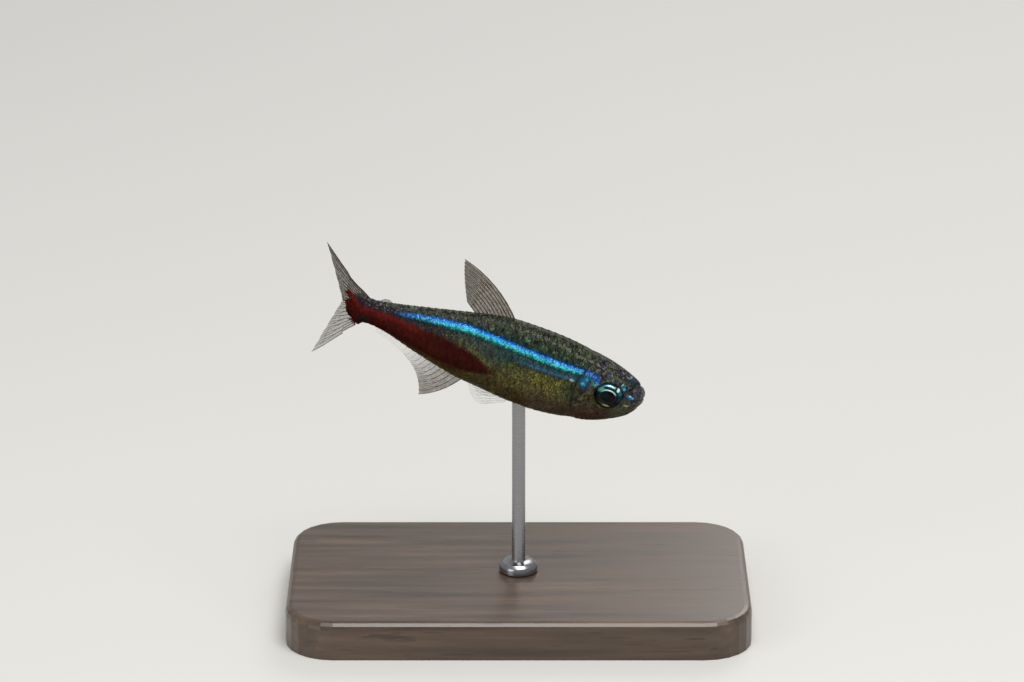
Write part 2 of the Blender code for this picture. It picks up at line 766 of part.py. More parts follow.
def main():
    clear_scene()
    flesh = material("skin", (0.10, 0.14, 0.12), 0.35, 0.3)
    red = material("tail_skin", (0.35, 0.03, 0.03), 0.35, 0.2)
    web = material("fin", (0.45, 0.42, 0.36), 0.3)
    eyeball = material("eye", (0.03, 0.12, 0.16), 0.12, 0.4)
    wood = material("wood", (0.09, 0.055, 0.035), 0.45)
    steel = material("steel", (0.55, 0.56, 0.57), 0.3, 1.0)

    head = make_head()
    trunk = make_trunk()
    tail = make_tail()
    eyes = [make_eye("eye_right", 1), make_eye("eye_left", -1)]
    fins = [
        make_dorsal_fin(),
        make_anal_fin(),
        make_adipose_fin(),
        make_tail_lobe("tail_fin_upper", 1),
        make_tail_lobe("tail_fin_lower", -1),
        make_paired_fin("pectoral_fin_right", PECTORAL, 1),
        make_paired_fin("pectoral_fin_left", PECTORAL, -1),
        make_paired_fin("pelvic_fin_right", PELVIC, 1),
        make_paired_fin("pelvic_fin_left", PELVIC, -1),
    ]
    clearance = loft_body("clear_of_belly", stations(20 * PERCENT, 60 * PERCENT, 24), grow=GAP)
    set_pose([head, trunk, tail, clearance] + eyes + fins)
    rod = make_rod(clearance)
    base = make_base()

    finish(head, flesh)
    finish(trunk, flesh)
    finish(tail, red)
    for item in eyes:
        finish(item, eyeball)
    for item in fins:
        finish(item, web)
    finish(rod, steel)
    finish(base, wood)

    group = bpy.data.collections.new("neon_tetra")
    bpy.context.scene.collection.children.link(group)
    for item in [head, trunk, tail, rod, base] + eyes + fins:
        bpy.context.scene.collection.objects.unlink(item)
        group.objects.link(item)


main()
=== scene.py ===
# %% [markdown]
# # A neon tetra on a stand
#
# This lesson dresses a small solid model of a fish until it looks like the living animal. The packed
# solids come first and never move. Each step below makes one piece or one finish, and says why it is
# made that way. The fish is drawn straight and level, in per cent of its length from the snout to the
# root of the tail fin, because books describe fish in that way. One function then bends its tail, dips
# its nose and sets it on the rod, so every piece lands in the same pose.

import math

import bmesh
import bpy
import numpy as np
from mathutils import Matrix, Vector


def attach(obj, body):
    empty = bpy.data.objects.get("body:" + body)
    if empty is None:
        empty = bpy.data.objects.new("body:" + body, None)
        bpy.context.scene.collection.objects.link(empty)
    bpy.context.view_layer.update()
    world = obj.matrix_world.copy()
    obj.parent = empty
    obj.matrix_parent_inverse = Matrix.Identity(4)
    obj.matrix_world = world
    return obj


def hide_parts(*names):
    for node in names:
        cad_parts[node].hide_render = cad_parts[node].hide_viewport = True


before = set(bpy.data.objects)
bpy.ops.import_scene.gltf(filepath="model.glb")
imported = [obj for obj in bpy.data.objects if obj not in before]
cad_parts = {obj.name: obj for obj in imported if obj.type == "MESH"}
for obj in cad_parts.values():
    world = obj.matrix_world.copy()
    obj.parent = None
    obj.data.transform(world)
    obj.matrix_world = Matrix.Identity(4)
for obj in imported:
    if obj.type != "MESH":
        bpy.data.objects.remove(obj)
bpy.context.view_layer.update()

# %% [markdown]
# ## The body's measures
#
# A real tetra is a long spindle. It is deepest behind the head and narrows to the tail stalk. A table
# of landmarks holds the height of the back, the depth of the belly and half the width at thirteen
# places. A smooth curve through them gives every place between. A sculpted mesh could do the same, but
# a table can be measured on the animal and read by anyone.

# %% Landmarks from snout to tail
FISH_LENGTH = 0.025
PERCENT = FISH_LENGTH / 100
LANDMARKS = {
    "lips": (0.0, 4.3, -0.9, 1.1),
    "snout": (1.0, 5.3, 1.9, 2.2),
    "nostrils": (4.0, 7.5, 5.5, 3.8),
    "eye": (11.6, 10.2, 9.7, 6.0),
    "nape": (19.0, 11.7, 11.7, 6.9),
    "shoulder": (30.0, 13.2, 13.6, 7.2),
    "belly": (41.0, 13.6, 13.8, 6.9),
    "dorsal_fin_front": (51.0, 13.2, 12.9, 6.3),
    "dorsal_fin_rear": (62.0, 10.9, 11.7, 5.3),
    "anal_fin_middle": (76.0, 7.6, 8.5, 3.9),
    "adipose_fin": (87.2, 5.1, 5.3, 2.7),
    "tail_stalk": (94.5, 4.2, 4.5, 2.1),
    "tail_fin_root": (100.0, 5.2, 6.3, 1.7),
}
MEASURES = np.array(list(LANDMARKS.values()))
BACK, BELLY, HALF_WIDTH = 1, 2, 3


def curve_through(places, sizes, x):
    """The value at x of a smooth curve that has the given sizes at the given places."""
    slopes = np.empty(len(places))
    slopes[1:-1] = (sizes[2:] - sizes[:-2]) / (places[2:] - places[:-2])
    slopes[0] = (sizes[1] - sizes[0]) / (places[1] - places[0])
    slopes[-1] = (sizes[-1] - sizes[-2]) / (places[-1] - places[-2])
    at = np.clip(x, places[0], places[-1])
    k = np.clip(np.searchsorted(places, at, side="right") - 1, 0, len(places) - 2)
    width = places[k + 1] - places[k]
    t = (at - places[k]) / width
    return (
        (2 * t**3 - 3 * t**2 + 1) * sizes[k]
        + (t**3 - 2 * t**2 + t) * width * slopes[k]
        + (3 * t**2 - 2 * t**3) * sizes[k + 1]
        + (t**3 - t**2) * width * slopes[k + 1]
    )


def body_size(x, column):
    """One column of the landmarks at x per cent behind the snout."""
    return curve_through(MEASURES[:, 0], MEASURES[:, column], x)


print("deepest at the shoulder:", round(float(body_size(30, BACK) + body_size(30, BELLY)), 1), "%")

# %% [markdown]
# ## The body's cross sections
#
# Cut across, the fish is an oval a little fuller than an ellipse, and broader above than below. The
# power in the formula makes the fullness. Two more rules close the ends: the snout rounds off like a
# ball, and the flesh at the tail thins to a slanting edge that the tail fin grows from.

# %% The oval sections and both ends
SECTION_POWER = 2.15
SECTION_EGG = 0.06
SNOUT_ROUND = 1.3
FLESH_THINS = 95.0
FLESH_ENDS = 103.6
FLESH_SLANTS = (2.4, 6.2)


def unit(vectors):
    """Vectors made one unit long."""
    return vectors / np.linalg.norm(vectors, axis=-1, keepdims=True)


def smooth(low, high, value):
    """Goes gently from 0 at low to 1 at high."""
    t = np.clip((value - low) / (high - low), 0, 1)
    return t * t * (3 - 2 * t)


def body_point(x, angle):
    """Points on the body's surface: angle 0 is the back and a right angle the right flank."""
    x, angle = np.broadcast_arrays(np.asarray(x, float), np.asarray(angle, float))
    snout = np.sqrt(1 - (1 - np.clip(x / SNOUT_ROUND, 0, 1)) ** 2)
    thin = np.clip((x - FLESH_THINS) / (FLESH_ENDS - FLESH_THINS), 0, 1)
    back, belly = body_size(x, BACK), body_size(x, BELLY)
    half_depth = (back + belly) / 2 * snout * (1 - 0.3 * thin**3)
    half_width = body_size(x, HALF_WIDTH) * snout * np.sqrt(1 - thin**2)
    out, up = np.sin(angle), np.cos(angle)
    power = 2 / SECTION_POWER
    y = half_width * np.sign(out) * np.abs(out) ** power * (1 + SECTION_EGG * up)
    z = (back - belly) / 2 + half_depth * np.sign(up) * np.abs(up) ** power
    slant = FLESH_SLANTS[0] * np.clip(up, 0, 1) ** 2 + FLESH_SLANTS[1] * np.clip(-up, 0, 1) ** 1.5
    return np.stack([x - slant * thin, y, z], axis=-1)


def body_normal(x, angle):
    """Unit vectors that point out of the body's surface."""
    step = 0.01
    along = body_point(x + step, angle) - body_point(x - step, angle)
    around = body_point(x, angle + step) - body_point(x, angle - step)
    return unit(np.cross(along, around))


print("half width at the shoulder:", body_point(30, math.pi / 2)[1].round(2), "%")

# %% [markdown]
# ## The pose
#
# In the photo the fish glides with its nose dipped and sweeps its tail fin towards us. An armature
# could bend the mesh, but here the mid-line itself is a path: small steps, each turned a little more.
# A point keeps its distance from that path wherever the path goes. The same path made the solids.

# %% Bending the mid-line and placing the fish
NOSE_DIP = math.radians(20.4)
PIVOT_X = 0.01228
PIVOT_HEIGHT = 0.0222
BEND_STARTS = 60 * PERCENT
STALK_YAW = math.radians(5)
HINGE_X = 97 * PERCENT
HINGE_LENGTH = 7 * PERCENT
FIN_YAW = math.radians(62)
FIN_LIFT = math.radians(15)
FIN_ROLL = math.radians(20)
PATH_STEPS = 600
PATH_LENGTH = 1.4 * FISH_LENGTH
ROD_X = 37.5


def bent_midline():
    """Places on the bent mid-line, with what is aside and what is up at each."""
    step = PATH_LENGTH / PATH_STEPS
    x = np.arange(PATH_STEPS + 1) * step
    share = np.clip((x - BEND_STARTS) / (HINGE_X - BEND_STARTS), 0, 1)
    hinge = smooth(HINGE_X, HINGE_X + HINGE_LENGTH, x)
    yaw = STALK_YAW * share**2 + (FIN_YAW - STALK_YAW) * hinge
    lift, roll = FIN_LIFT * hinge, FIN_ROLL * hinge
    along = np.stack([np.cos(yaw) * np.cos(lift), np.sin(yaw) * np.cos(lift), np.sin(lift)], axis=1)
    level = np.stack([-np.sin(yaw), np.cos(yaw), np.zeros_like(yaw)], axis=1)
    upright = np.cross(along, level)
    aside = level * np.cos(roll)[:, None] + upright * np.sin(roll)[:, None]
    up = upright * np.cos(roll)[:, None] - level * np.sin(roll)[:, None]
    place = np.zeros_like(along)
    place[1:] = np.cumsum(along[:-1] * step, axis=0)
    return step, place, aside, up


MIDLINE_STEP, MIDLINE, ASIDE, UP = bent_midline()
TURN = Matrix.Rotation(NOSE_DIP, 4, "Y") @ Matrix.Rotation(math.pi, 4, "Z")
TURNED = TURN @ Matrix.Translation((-PIVOT_X, 0.0, 0.0))
ROD_SEAT = Vector((ROD_X * PERCENT, 0.0, -float(body_size(ROD_X, BELLY)) * PERCENT))
PLACE = Matrix.Translation((-(TURNED @ ROD_SEAT).x, 0.0, PIVOT_HEIGHT)) @ TURNED


def pose(points):
    """Bends and places points of the straight fish, given in per cent, and returns metres."""
    flat = np.asarray(points, float).reshape(-1, 3) * PERCENT
    at = np.clip(flat[:, 0] / MIDLINE_STEP, 0, len(MIDLINE) - 1.001)
    k = at.astype(int)
    part = (at - k)[:, None]
    place, aside, up = (row[k] * (1 - part) + row[k + 1] * part for row in (MIDLINE, ASIDE, UP))
    bent = place + aside * flat[:, 1:2] + up * flat[:, 2:3]
    bent[flat[:, 0] <= 0] = flat[flat[:, 0] <= 0]
    matrix = np.array(PLACE)
    return bent @ matrix[:3, :3].T + matrix[:3, 3]


print("snout at", (pose([[0, 0, 2.6]])[0] * 1000).round(1), "mm")

# %% [markdown]
# ## The camera
#
# The photo was taken from the fish's right and from a little above. A long lens keeps perspective
# weak, as a close-up of so small a fish does. The aim is off the fish, so that it lies in the frame
# where it lies in the photo.

# %% The photographer's place
CAMERA_RISE = math.radians(20)
CAMERA_DISTANCE = 0.35
CAMERA_AIM = Vector((-0.00054859, 0.0, 0.02343724))
CAMERA_LENS = 151.35

camera = bpy.data.objects.new("camera", bpy.data.cameras.new("camera"))
bpy.context.scene.collection.objects.link(camera)
away = Vector((0.0, -math.cos(CAMERA_RISE), math.sin(CAMERA_RISE)))
camera.location = CAMERA_AIM + away * CAMERA_DISTANCE
camera.rotation_mode = "QUATERNION"
camera.rotation_quaternion = (-away).to_track_quat("-Z", "Y")
camera.data.lens = CAMERA_LENS
camera.data.sensor_width = 36
camera.data.clip_start = 0.01
camera.data.clip_end = 20
bpy.context.scene.camera = camera
print("camera at", [round(v, 3) for v in camera.location])

# %% [markdown]
# ## Turning arrays into pieces
#
# Every piece below is worked out as arrays of points and faces. One helper makes the Blender mesh,
# shades it smooth, keeps each point's place on the straight fish as an attribute, and lets the piece
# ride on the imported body. The markings are painted by that attribute, so they follow the bent tail.

# %% A helper that makes one piece
def make_piece(name, points, faces, finishes, replaced=(), places=None, extras=None, kinds=None):
    """Makes a shown piece from world points. places are its points on the straight fish."""
    mesh = bpy.data.meshes.new(name)
    mesh.from_pydata(np.asarray(points).reshape(-1, 3).tolist(), [], [list(f) for f in faces])
    for finish in finishes:
        mesh.materials.append(finish)
    if kinds is not None:
        mesh.polygons.foreach_set("material_index", np.asarray(kinds, np.int32))
    if places is not None:
        held = mesh.attributes.new("fish_place", "FLOAT_VECTOR", "POINT")
        held.data.foreach_set("vector", np.asarray(places, np.float32).ravel())
    for key, values in (extras or {}).items():
        values = np.asarray(values, np.float32)
        kind = "FLOAT_VECTOR" if values.ndim == 2 else "FLOAT"
        held = mesh.attributes.new(key, kind, "POINT")
        held.data.foreach_set("vector" if values.ndim == 2 else "value", values.ravel())
    outward = bmesh.new()
    outward.from_mesh(mesh)
    bmesh.ops.recalc_face_normals(outward, faces=outward.faces)
    outward.to_mesh(mesh)
    outward.free()
    mesh.shade_smooth()
    piece = bpy.data.objects.new(name, mesh)
    bpy.context.scene.collection.objects.link(piece)
    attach(piece, "root")
    if replaced:
        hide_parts(*replaced)
    print(name, len(mesh.vertices), "points")
    return piece


# %% [markdown]
# ## Joining points into faces
#
# Most pieces here are grids of points, so their faces follow a rule and need not be listed. Blender's
# own operators could fill the gaps, but a rule gives the same faces on every run. The helpers join a
# grid, a thin closed sheet, and the ends of round forms.

# %% Helpers that join points into faces
def grid_faces(rows, columns, closed=False, start=0):
    """Four-sided faces between neighbours of a grid whose points are numbered row by row."""
    row, column = np.meshgrid(np.arange(rows - 1), np.arange(columns if closed else columns - 1))
    row, column = row.ravel(), column.ravel()
    following = (column + 1) % columns
    corners = [
        start + row * columns + column,
        start + row * columns + following,
        start + (row + 1) * columns + following,
        start + (row + 1) * columns + column,
    ]
    return np.stack(corners, axis=1).tolist()


def sheet_faces(rows, columns):
    """A thin closed sheet: an upper grid, a lower one numbered after it, and the rim between them."""
    size = rows * columns
    rim = [(0, c) for c in range(columns)] + [(r, columns - 1) for r in range(1, rows)]
    rim += [(rows - 1, c) for c in range(columns - 2, -1, -1)] + [(r, 0) for r in range(rows - 2, 0, -1)]
    rim = [r * columns + c for r, c in rim]
    faces = grid_faces(rows, columns) + grid_faces(rows, columns, start=size)
    return faces + [[one, one + size, other + size, other] for one, other in zip(rim, rim[1:] + rim[:1])]


def fan_faces(rows, columns):
    """Triangles that close a round grid on two points numbered after it, one at each end."""
    first, last, end_ring = rows * columns, rows * columns + 1, (rows - 1) * columns
    faces = []
    for k in range(columns):
        following = (k + 1) % columns
        faces.append([first, k, following])
        faces.append([last, end_ring + following, end_ring + k])
    return faces


def flat_ends(rows, columns):
    """The two flat faces that close a round grid."""
    return [list(range(columns))[::-1], [(rows - 1) * columns + k for k in range(columns)]]


# %% [markdown]
# ## Writing finishes like sums
#
# A fish's markings are bands, speckles and sheens laid over one another. In the node editor that is
# dozens of small nodes. This helper adds them with short calls, so that a finish reads like a recipe.
# A rise goes gently from one number to another, and most markings are a few rises multiplied.

# %% Nodes by short calls
class Finish:
    """A material whose nodes are added by short calls."""

    def __init__(self, name):
        self.material = bpy.data.materials.new(name)
        self.material.use_nodes = True
        self.tree = self.material.node_tree
        self.shader = self.tree.nodes["Principled BSDF"]

    def feed(self, socket, value):
        """Links another node's result to a socket, or sets the socket's own number or colour."""
        if isinstance(value, bpy.types.NodeSocket):
            self.tree.links.new(value, socket)
        elif isinstance(value, tuple) and len(value) == 3 and socket.type == "RGBA":
            socket.default_value = (*value, 1.0)
        else:
            socket.default_value = value

    def node(self, kind, **settings):
        made = self.tree.nodes.new("ShaderNode" + kind)
        for key, value in settings.items():
            setattr(made, key, value)
        return made

    def place(self, name="fish_place"):
        """The vector attribute, whole and as three numbers."""
        made = self.node("Attribute", attribute_type="GEOMETRY", attribute_name=name)
        parts = self.node("SeparateXYZ")
        self.feed(parts.inputs[0], made.outputs["Vector"])
        return made.outputs["Vector"], parts.outputs[0], parts.outputs[1], parts.outputs[2]

    def number(self, name):
        made = self.node("Attribute", attribute_type="GEOMETRY", attribute_name=name)
        return made.outputs["Fac"]

    def calc(self, operation, *values):
        """One step of arithmetic, named as Blender names it."""
        made = self.node("Math", operation=operation)
        for socket, value in zip(made.inputs, values):
            self.feed(socket, value)
        return made.outputs[0]

    def times(self, *values):
        result = values[0]
        for value in values[1:]:
            result = self.calc("MULTIPLY", result, value)
        return result

    def plus(self, value, other):
        return self.calc("ADD", value, other)

    def less(self, value, other):
        return self.calc("SUBTRACT", value, other)

    def squares(self, one, other):
        return self.plus(self.times(one, one), self.times(other, other))

    def oval(self, x, z, middle, halves):
        """How far out from an oval's middle a point lies, squared: 1 on the oval itself."""
        across = self.times(self.less(x, middle[0]), 1 / halves[0])
        up = self.times(self.less(z, middle[1]), 1 / halves[1])
        return self.squares(across, up)

    def rise(self, value, low, high, start=0.0, end=1.0):
        """Goes gently from start to end as the value goes from low to high."""
        made = self.node("MapRange", interpolation_type="SMOOTHSTEP")
        for socket, given in zip(made.inputs, (value, low, high, start, end)):
            self.feed(socket, given)
        return made.outputs[0]

    def rises(self, *several):
        """Several rises multiplied, each given as the value, where it starts and where it ends."""
        return self.times(*(self.rise(*one) for one in several))

    def mix(self, share, one, other):
        made = self.node("Mix", data_type="RGBA")
        self.feed(made.inputs[0], share)
        self.feed(made.inputs[6], one)
        self.feed(made.inputs[7], other)
        return made.outputs[2]

    def blend(self, value, low, high, one, other):
        """Goes from one colour to the other as the value goes from low to high."""
        return self.mix(self.rise(value, low, high), one, other)

    def bright(self, colour, factor):
        """A colour made lighter or darker by a factor."""
        made = self.node("VectorMath", operation="SCALE")
        self.feed(made.inputs[0], colour)
        self.feed(made.inputs["Scale"], factor)
        return made.outputs[0]

    def stretch(self, vector, factors):
        """A vector with each of its three numbers multiplied, which squeezes the pattern made from it."""
        made = self.node("VectorMath", operation="MULTIPLY")
        self.feed(made.inputs[0], vector)
        made.inputs[1].default_value = factors
        return made.outputs[0]

    def noise(self, vector, size, detail=2.0, roughness=0.5):
        """Soft clouds whose lumps are about size across."""
        made = self.node("TexNoise")
        self.feed(made.inputs["Vector"], vector)
        made.inputs["Scale"].default_value = 1 / size
        made.inputs["Detail"].default_value = detail
        made.inputs["Roughness"].default_value = roughness
        return made.outputs["Fac"]

    def grains(self, vector, size):
        """Small cells about size across: how far from each one's middle, and a random share each."""
        made = self.node("TexVoronoi")
        self.feed(made.inputs["Vector"], vector)
        made.inputs["Scale"].default_value = 1 / size
        parts = self.node("SeparateColor")
        self.feed(parts.inputs[0], made.outputs["Color"])
        return made.outputs["Distance"], parts.outputs[0]

    def ramp(self, value, stops):
        """Colours along a scale: stops are (place, colour)."""
        made = self.node("ValToRGB")
        ramp = made.color_ramp
        while len(ramp.elements) < len(stops):
            ramp.elements.new(0.5)
        for element, (position, colour) in zip(ramp.elements, stops):
            element.position = position
            element.color = (*colour, 1.0)
        self.feed(made.inputs[0], value)
        return made.outputs[0]

    def line(self, x, points):
        """The height of a line drawn on the flank, at x per cent behind the snout."""
        reach, room = 110.0, 40.0
        made = self.node("FloatCurve")
        curve = made.mapping.curves[0]
        points = [(0.0, points[0][1])] + list(points) + [(reach, points[-1][1])]
        while len(curve.points) < len(points):
            curve.points.new(0.5, 0.5)
        for slot, (along, height) in zip(curve.points, points):
            slot.location = (along / reach, height / room + 0.5)
            slot.handle_type = "AUTO_CLAMPED"
        made.mapping.update()
        self.feed(made.inputs["Value"], self.calc("DIVIDE", x, reach))
        return self.times(self.less(made.outputs[0], 0.5), room)

    def bump(self, height, strength, distance):
        """Makes the height look raised, by up to a distance in metres."""
        made = self.node("Bump")
        self.feed(made.inputs["Height"], height)
        self.feed(made.inputs["Strength"], strength)
        self.feed(made.inputs["Distance"], distance)
        return made.outputs[0]

    def wear(self, inputs):
        """Gives the shader its inputs by name and returns the material."""
        for name, value in inputs.items():
            self.feed(self.shader.inputs[name], value)
        return self.material


# %% [markdown]
# ## Where the markings run
#
# The lines below say where each marking runs on the flank, as places behind the snout and heights
# over the mid-line. The stripe has an upper and a lower edge. Under it lies a grey-blue band with a
# foot of its own, and the red fills the rear half below. Such lines can be read off any side view.
# The eye and the gill cover are placed here too, because some markings follow them. One more line
# says where a painted highlight runs along the shoulder.

# %% Lines on the flank, the eye and the gill cover
STRIPE_TOP = [
    (14, 4.6), (16.8, 5.9), (18.8, 6.9), (23.2, 7.1), (31, 7.2), (43.2, 7.5), (52, 7.9), (60.8, 7.9),
    (69, 6.9), (78.8, 5.1), (85.2, 3.6), (90, 2.9),
]
STRIPE_FOOT = [
    (14, 2.6), (17, 3.2), (20.5, 4.6), (23.2, 4.8), (24.8, 4.3), (33.5, 4.1), (42.2, 4.6), (51, 4.7),
    (59.5, 4.9), (68, 4.1), (78, 3.1), (84.8, 2.4),
]
TEAL_FOOT = [(22, 3.0), (25.8, 2.4), (32.5, 1.8), (43, 1.8), (49.8, 1.3), (60, 1.2)]
RED_TOP = [
    (46, -5.6), (48.5, -4.7), (54.8, -1.9), (59.5, -0.2), (65, 0.9), (70.5, 1.4), (77.5, 1.6), (84.5, 2.2),
    (91.5, 2.2), (96.8, 2.0), (99, 2.5), (101, 3.6), (104, 5.4),
]
RED_FOOT = [
    (46, -5.0), (48.2, -5.2), (53.8, -6.5), (60.2, -7.9), (67.2, -8.2), (74.5, -7.1), (82, -5.8),
    (87.5, -4.7), (93, -4.3), (96, -5.6), (104, -7.0),
]
# Where a painted highlight runs along the shoulder
SHOULDER_HIGHLIGHT_LINE = [(18, 9.3), (25, 10.2), (31, 11.2), (42, 12.1), (48, 11.9)]
DARK_SPOT = (95.4, -3.0)
EYE_X, EYE_Z = 12.1, 0.9
EYE_HALF_LENGTH, EYE_HALF_HEIGHT = 4.85, 4.3
GILL_X, GILL_RADIUS = 6.0, 17.0

# %% [markdown]
# ## Grains, clouds and distances
#
# On the living fish, small pigment cells and plates of silvery crystals lie under clear skin. So each
# colour is broken up by grains a tenth to a quarter of a millimetre across. A painted image could not
# be seen from the far side or from near by, while sums of place and noise can. This cell makes what
# all the markings share. The cells after it lay one marking over another, and f is the skin's finish.

# %% What the markings share
f = Finish("tetra_skin")
place, x, y, z = f.place()
height = f.number("height_share")
upright = f.stretch(place, (1.45, 1.0, 0.72))
cell, chance = f.grains(upright, 0.42)
cell_wide, chance_wide = f.grains(upright, 0.95)
_, pore = f.grains(place, 0.42)
_, fleck = f.grains(place, 0.95)
cloud = f.noise(place, 2.6, 3.0, 0.65)
dust = f.noise(place, 0.55, 2.0, 0.6)
fine = f.less(f.noise(place, 0.38, 2.0, 0.7), 0.5)
jitter = f.less(f.noise(place, 0.6, 2.0, 0.7), 0.5)
ragged = f.plus(z, f.times(jitter, 1.7))
stripe_top = f.line(x, STRIPE_TOP)
stripe_foot = f.line(x, STRIPE_FOOT)
red_top = f.line(x, RED_TOP)
from_gill = f.calc("SQRT", f.squares(f.less(x, GILL_X), z))
speckle = f.rises((chance, 0.0, 1.0, 0.40, 1.70), (chance_wide, 0.0, 1.0, 0.6, 1.4))
calm = f.rise(height, 0.80, 0.45, 1.0, 0.55)
speckle = f.plus(f.times(f.less(speckle, 1.0), calm), 1.0)
print("shared by the markings:", len(f.tree.nodes), "nodes")

# %% [markdown]
# ## The ground colour
#
# The back is olive, the flank grey-green and the belly brown, each in blotches of several shades. The
# tail stalk is darker. A few crystals glitter on the back as painted pale highlights, and a painted
# highlight runs as a pale streak over its side. These are the lowest coats, so they come first.

# %% Back, flank, belly and stalk
blotch = f.plus(f.times(chance_wide, 0.6), f.times(f.rise(cloud, 0.3, 0.7), 0.4))
back = f.ramp(blotch, [
    (0.15, (0.006, 0.009, 0.005)), (0.32, (0.024, 0.031, 0.014)), (0.46, (0.024, 0.020, 0.024)),
    (0.60, (0.032, 0.035, 0.014)), (0.74, (0.016, 0.031, 0.021)), (0.9, (0.056, 0.060, 0.034)),
])
flank = f.ramp(blotch, [
    (0.15, (0.004, 0.009, 0.006)), (0.32, (0.014, 0.032, 0.014)), (0.46, (0.018, 0.020, 0.022)),
    (0.60, (0.026, 0.034, 0.010)), (0.74, (0.009, 0.034, 0.024)), (0.9, (0.044, 0.054, 0.028)),
])
under = f.ramp(cloud, [
    (0.35, (0.020, 0.011, 0.002)), (0.5, (0.032, 0.019, 0.004)), (0.66, (0.046, 0.030, 0.008)),
])
under = f.blend(x, 38, 26, under, (0.036, 0.024, 0.013))
under = f.bright(under, f.rise(x, 42, 54, 1.25, 1.5))
colour = f.blend(height, 0.66, 0.92, flank, back)
colour = f.blend(height, -0.22, -0.62, colour, under)
stalk = f.blend(dust, 0.4, 0.6, (0.018, 0.012, 0.014), (0.060, 0.048, 0.030))
colour = f.mix(f.rise(x, 84, 96, 0.0, 0.75), colour, stalk)
colour = f.bright(colour, speckle)
warm = f.blend(chance, 0.1, 0.95, (0.020, 0.017, 0.005), (0.072, 0.062, 0.022))
before_red = f.rises((height, 0.0, -0.3), (x, 36, 44), (x, 64, 54))
colour = f.mix(f.times(before_red, 0.65), colour, warm)
# Painted highlights: a few pale specks where crystals on the back glitter
back_highlights = f.rises((chance, 0.90, 0.97), (height, 0.1, 0.6), (dust, 0.45, 0.6))
colour = f.mix(f.times(back_highlights, 0.55), colour, (0.160, 0.175, 0.130))
# Painted highlight: a pale streak along the shoulder
off_line = f.calc("ABSOLUTE", f.less(ragged, f.line(x, SHOULDER_HIGHLIGHT_LINE)))
streak = f.rises((off_line, 0.75, 0.15), (x, 20, 24), (x, 49, 44), (chance, 0.3, 0.8))
colour = f.mix(f.times(streak, 0.8), colour, (0.140, 0.150, 0.120))

# %% [markdown]
# ## Haze, band and gold
#
# A blue haze lies just over the stripe and a grey-blue band with a thin blue rim under it. Behind the
# band the flank is ashen, with lighter olive next to the red. Gold-green flecks fill the lower flank
# and die away to the rear, the brightest of them painted sparkle, and a pale rim runs along the keel.

# %% Haze, olive, band, gold and keel
over_top = f.less(ragged, stripe_top)
haze = f.rises((over_top, 1.5, 0.0), (over_top, -1.5, -0.5), (x, 66, 50), (x, 20, 26))
colour = f.mix(f.times(haze, 0.45), colour, (0.006, 0.024, 0.034))
olive = f.rises(
    (ragged, stripe_foot, f.less(stripe_foot, 1.0)), (x, 46, 58), (x, 84, 66), (height, -0.55, -0.2),
)
gilt = f.blend(chance, 0.1, 0.95, (0.030, 0.036, 0.012), (0.135, 0.130, 0.046))
ashen = f.blend(chance, 0.1, 0.95, (0.020, 0.026, 0.022), (0.070, 0.080, 0.074))
olive_tone = f.blend(f.less(ragged, red_top), 1.0, 3.2, gilt, ashen)
colour = f.mix(f.times(olive, 0.75), colour, olive_tone)
over_teal = f.less(ragged, f.line(x, TEAL_FOOT))
band = f.rises(
    (over_teal, -0.3, 0.5), (ragged, stripe_foot, f.less(stripe_foot, 0.5)), (x, 23.3, 24.6),
    (x, 56, 36, 0.12, 1.0),
)
teal = f.blend(chance, 0.2, 0.95, (0.008, 0.026, 0.034), (0.034, 0.105, 0.125))
rim_line = f.rises((over_teal, 1.3, 0.5), (over_teal, -0.4, 0.2), (x, 46, 36))
teal = f.mix(f.times(rim_line, 0.8), teal, (0.028, 0.090, 0.180))
colour = f.mix(f.times(band, 0.85), colour, teal)
gold = f.rises(
    (z, -9.0, -4.5), (over_teal, 0.2, -1.8), (x, 22, 31), (x, 53, 35), (cloud, 0.32, 0.5, 0.35, 1.0),
)
# Gold-green flecks in their own colour; the brightest grains are painted sparkle
grit = f.ramp(chance, [
    (0.0, (0.018, 0.016, 0.004)), (0.45, (0.082, 0.072, 0.014)), (0.8, (0.150, 0.132, 0.026)),
    (1.0, (0.260, 0.240, 0.075)),
])
colour = f.mix(f.times(gold, 0.95), colour, grit)
keel = f.rises((height, -0.88, -0.97), (x, 12, 18))
keel_tone = f.blend(dust, 0.35, 0.65, (0.060, 0.043, 0.026), (0.105, 0.080, 0.052))
colour = f.mix(f.times(keel, 0.75), colour, keel_tone)

# %% [markdown]
# ## The red field
#
# Red pigment fills the rear half under the stripe. It is rusty at its front tip and brighter on the
# stalk. Its upper edge is ragged, because whole grains are red or not, and its lower edge is dark.
# Violet-black dust parts it from the stripe, a dark spot lies before the tail fin, and fine pale dots
# lie on the upper side of the stalk. A painted highlight lightens the red under its upper edge towards
# the tail.

# %% Red, dark dust, spot and pale dots
torn = f.plus(ragged, f.times(f.less(chance_wide, 0.5), 0.8))
over = f.less(red_top, torn)
under_red = f.less(ragged, f.line(x, RED_FOOT))
redness = f.rises((over, -0.9, 1.2), (under_red, -0.6, 0.5), (x, 45.5, 50))
blood = f.blend(cloud, 0.38, 0.62, (0.028, 0.0018, 0.0028), (0.036, 0.0056, 0.0008))
rust = f.rises((x, 55, 49), (chance, 0.0, 0.8, 0.4, 1.0))
blood = f.mix(rust, blood, (0.060, 0.020, 0.004))
rear_blood = f.blend(dust, 0.3, 0.7, (0.032, 0.0024, 0.0018), (0.057, 0.0050, 0.0032))
blood = f.blend(x, 62, 90, blood, rear_blood)
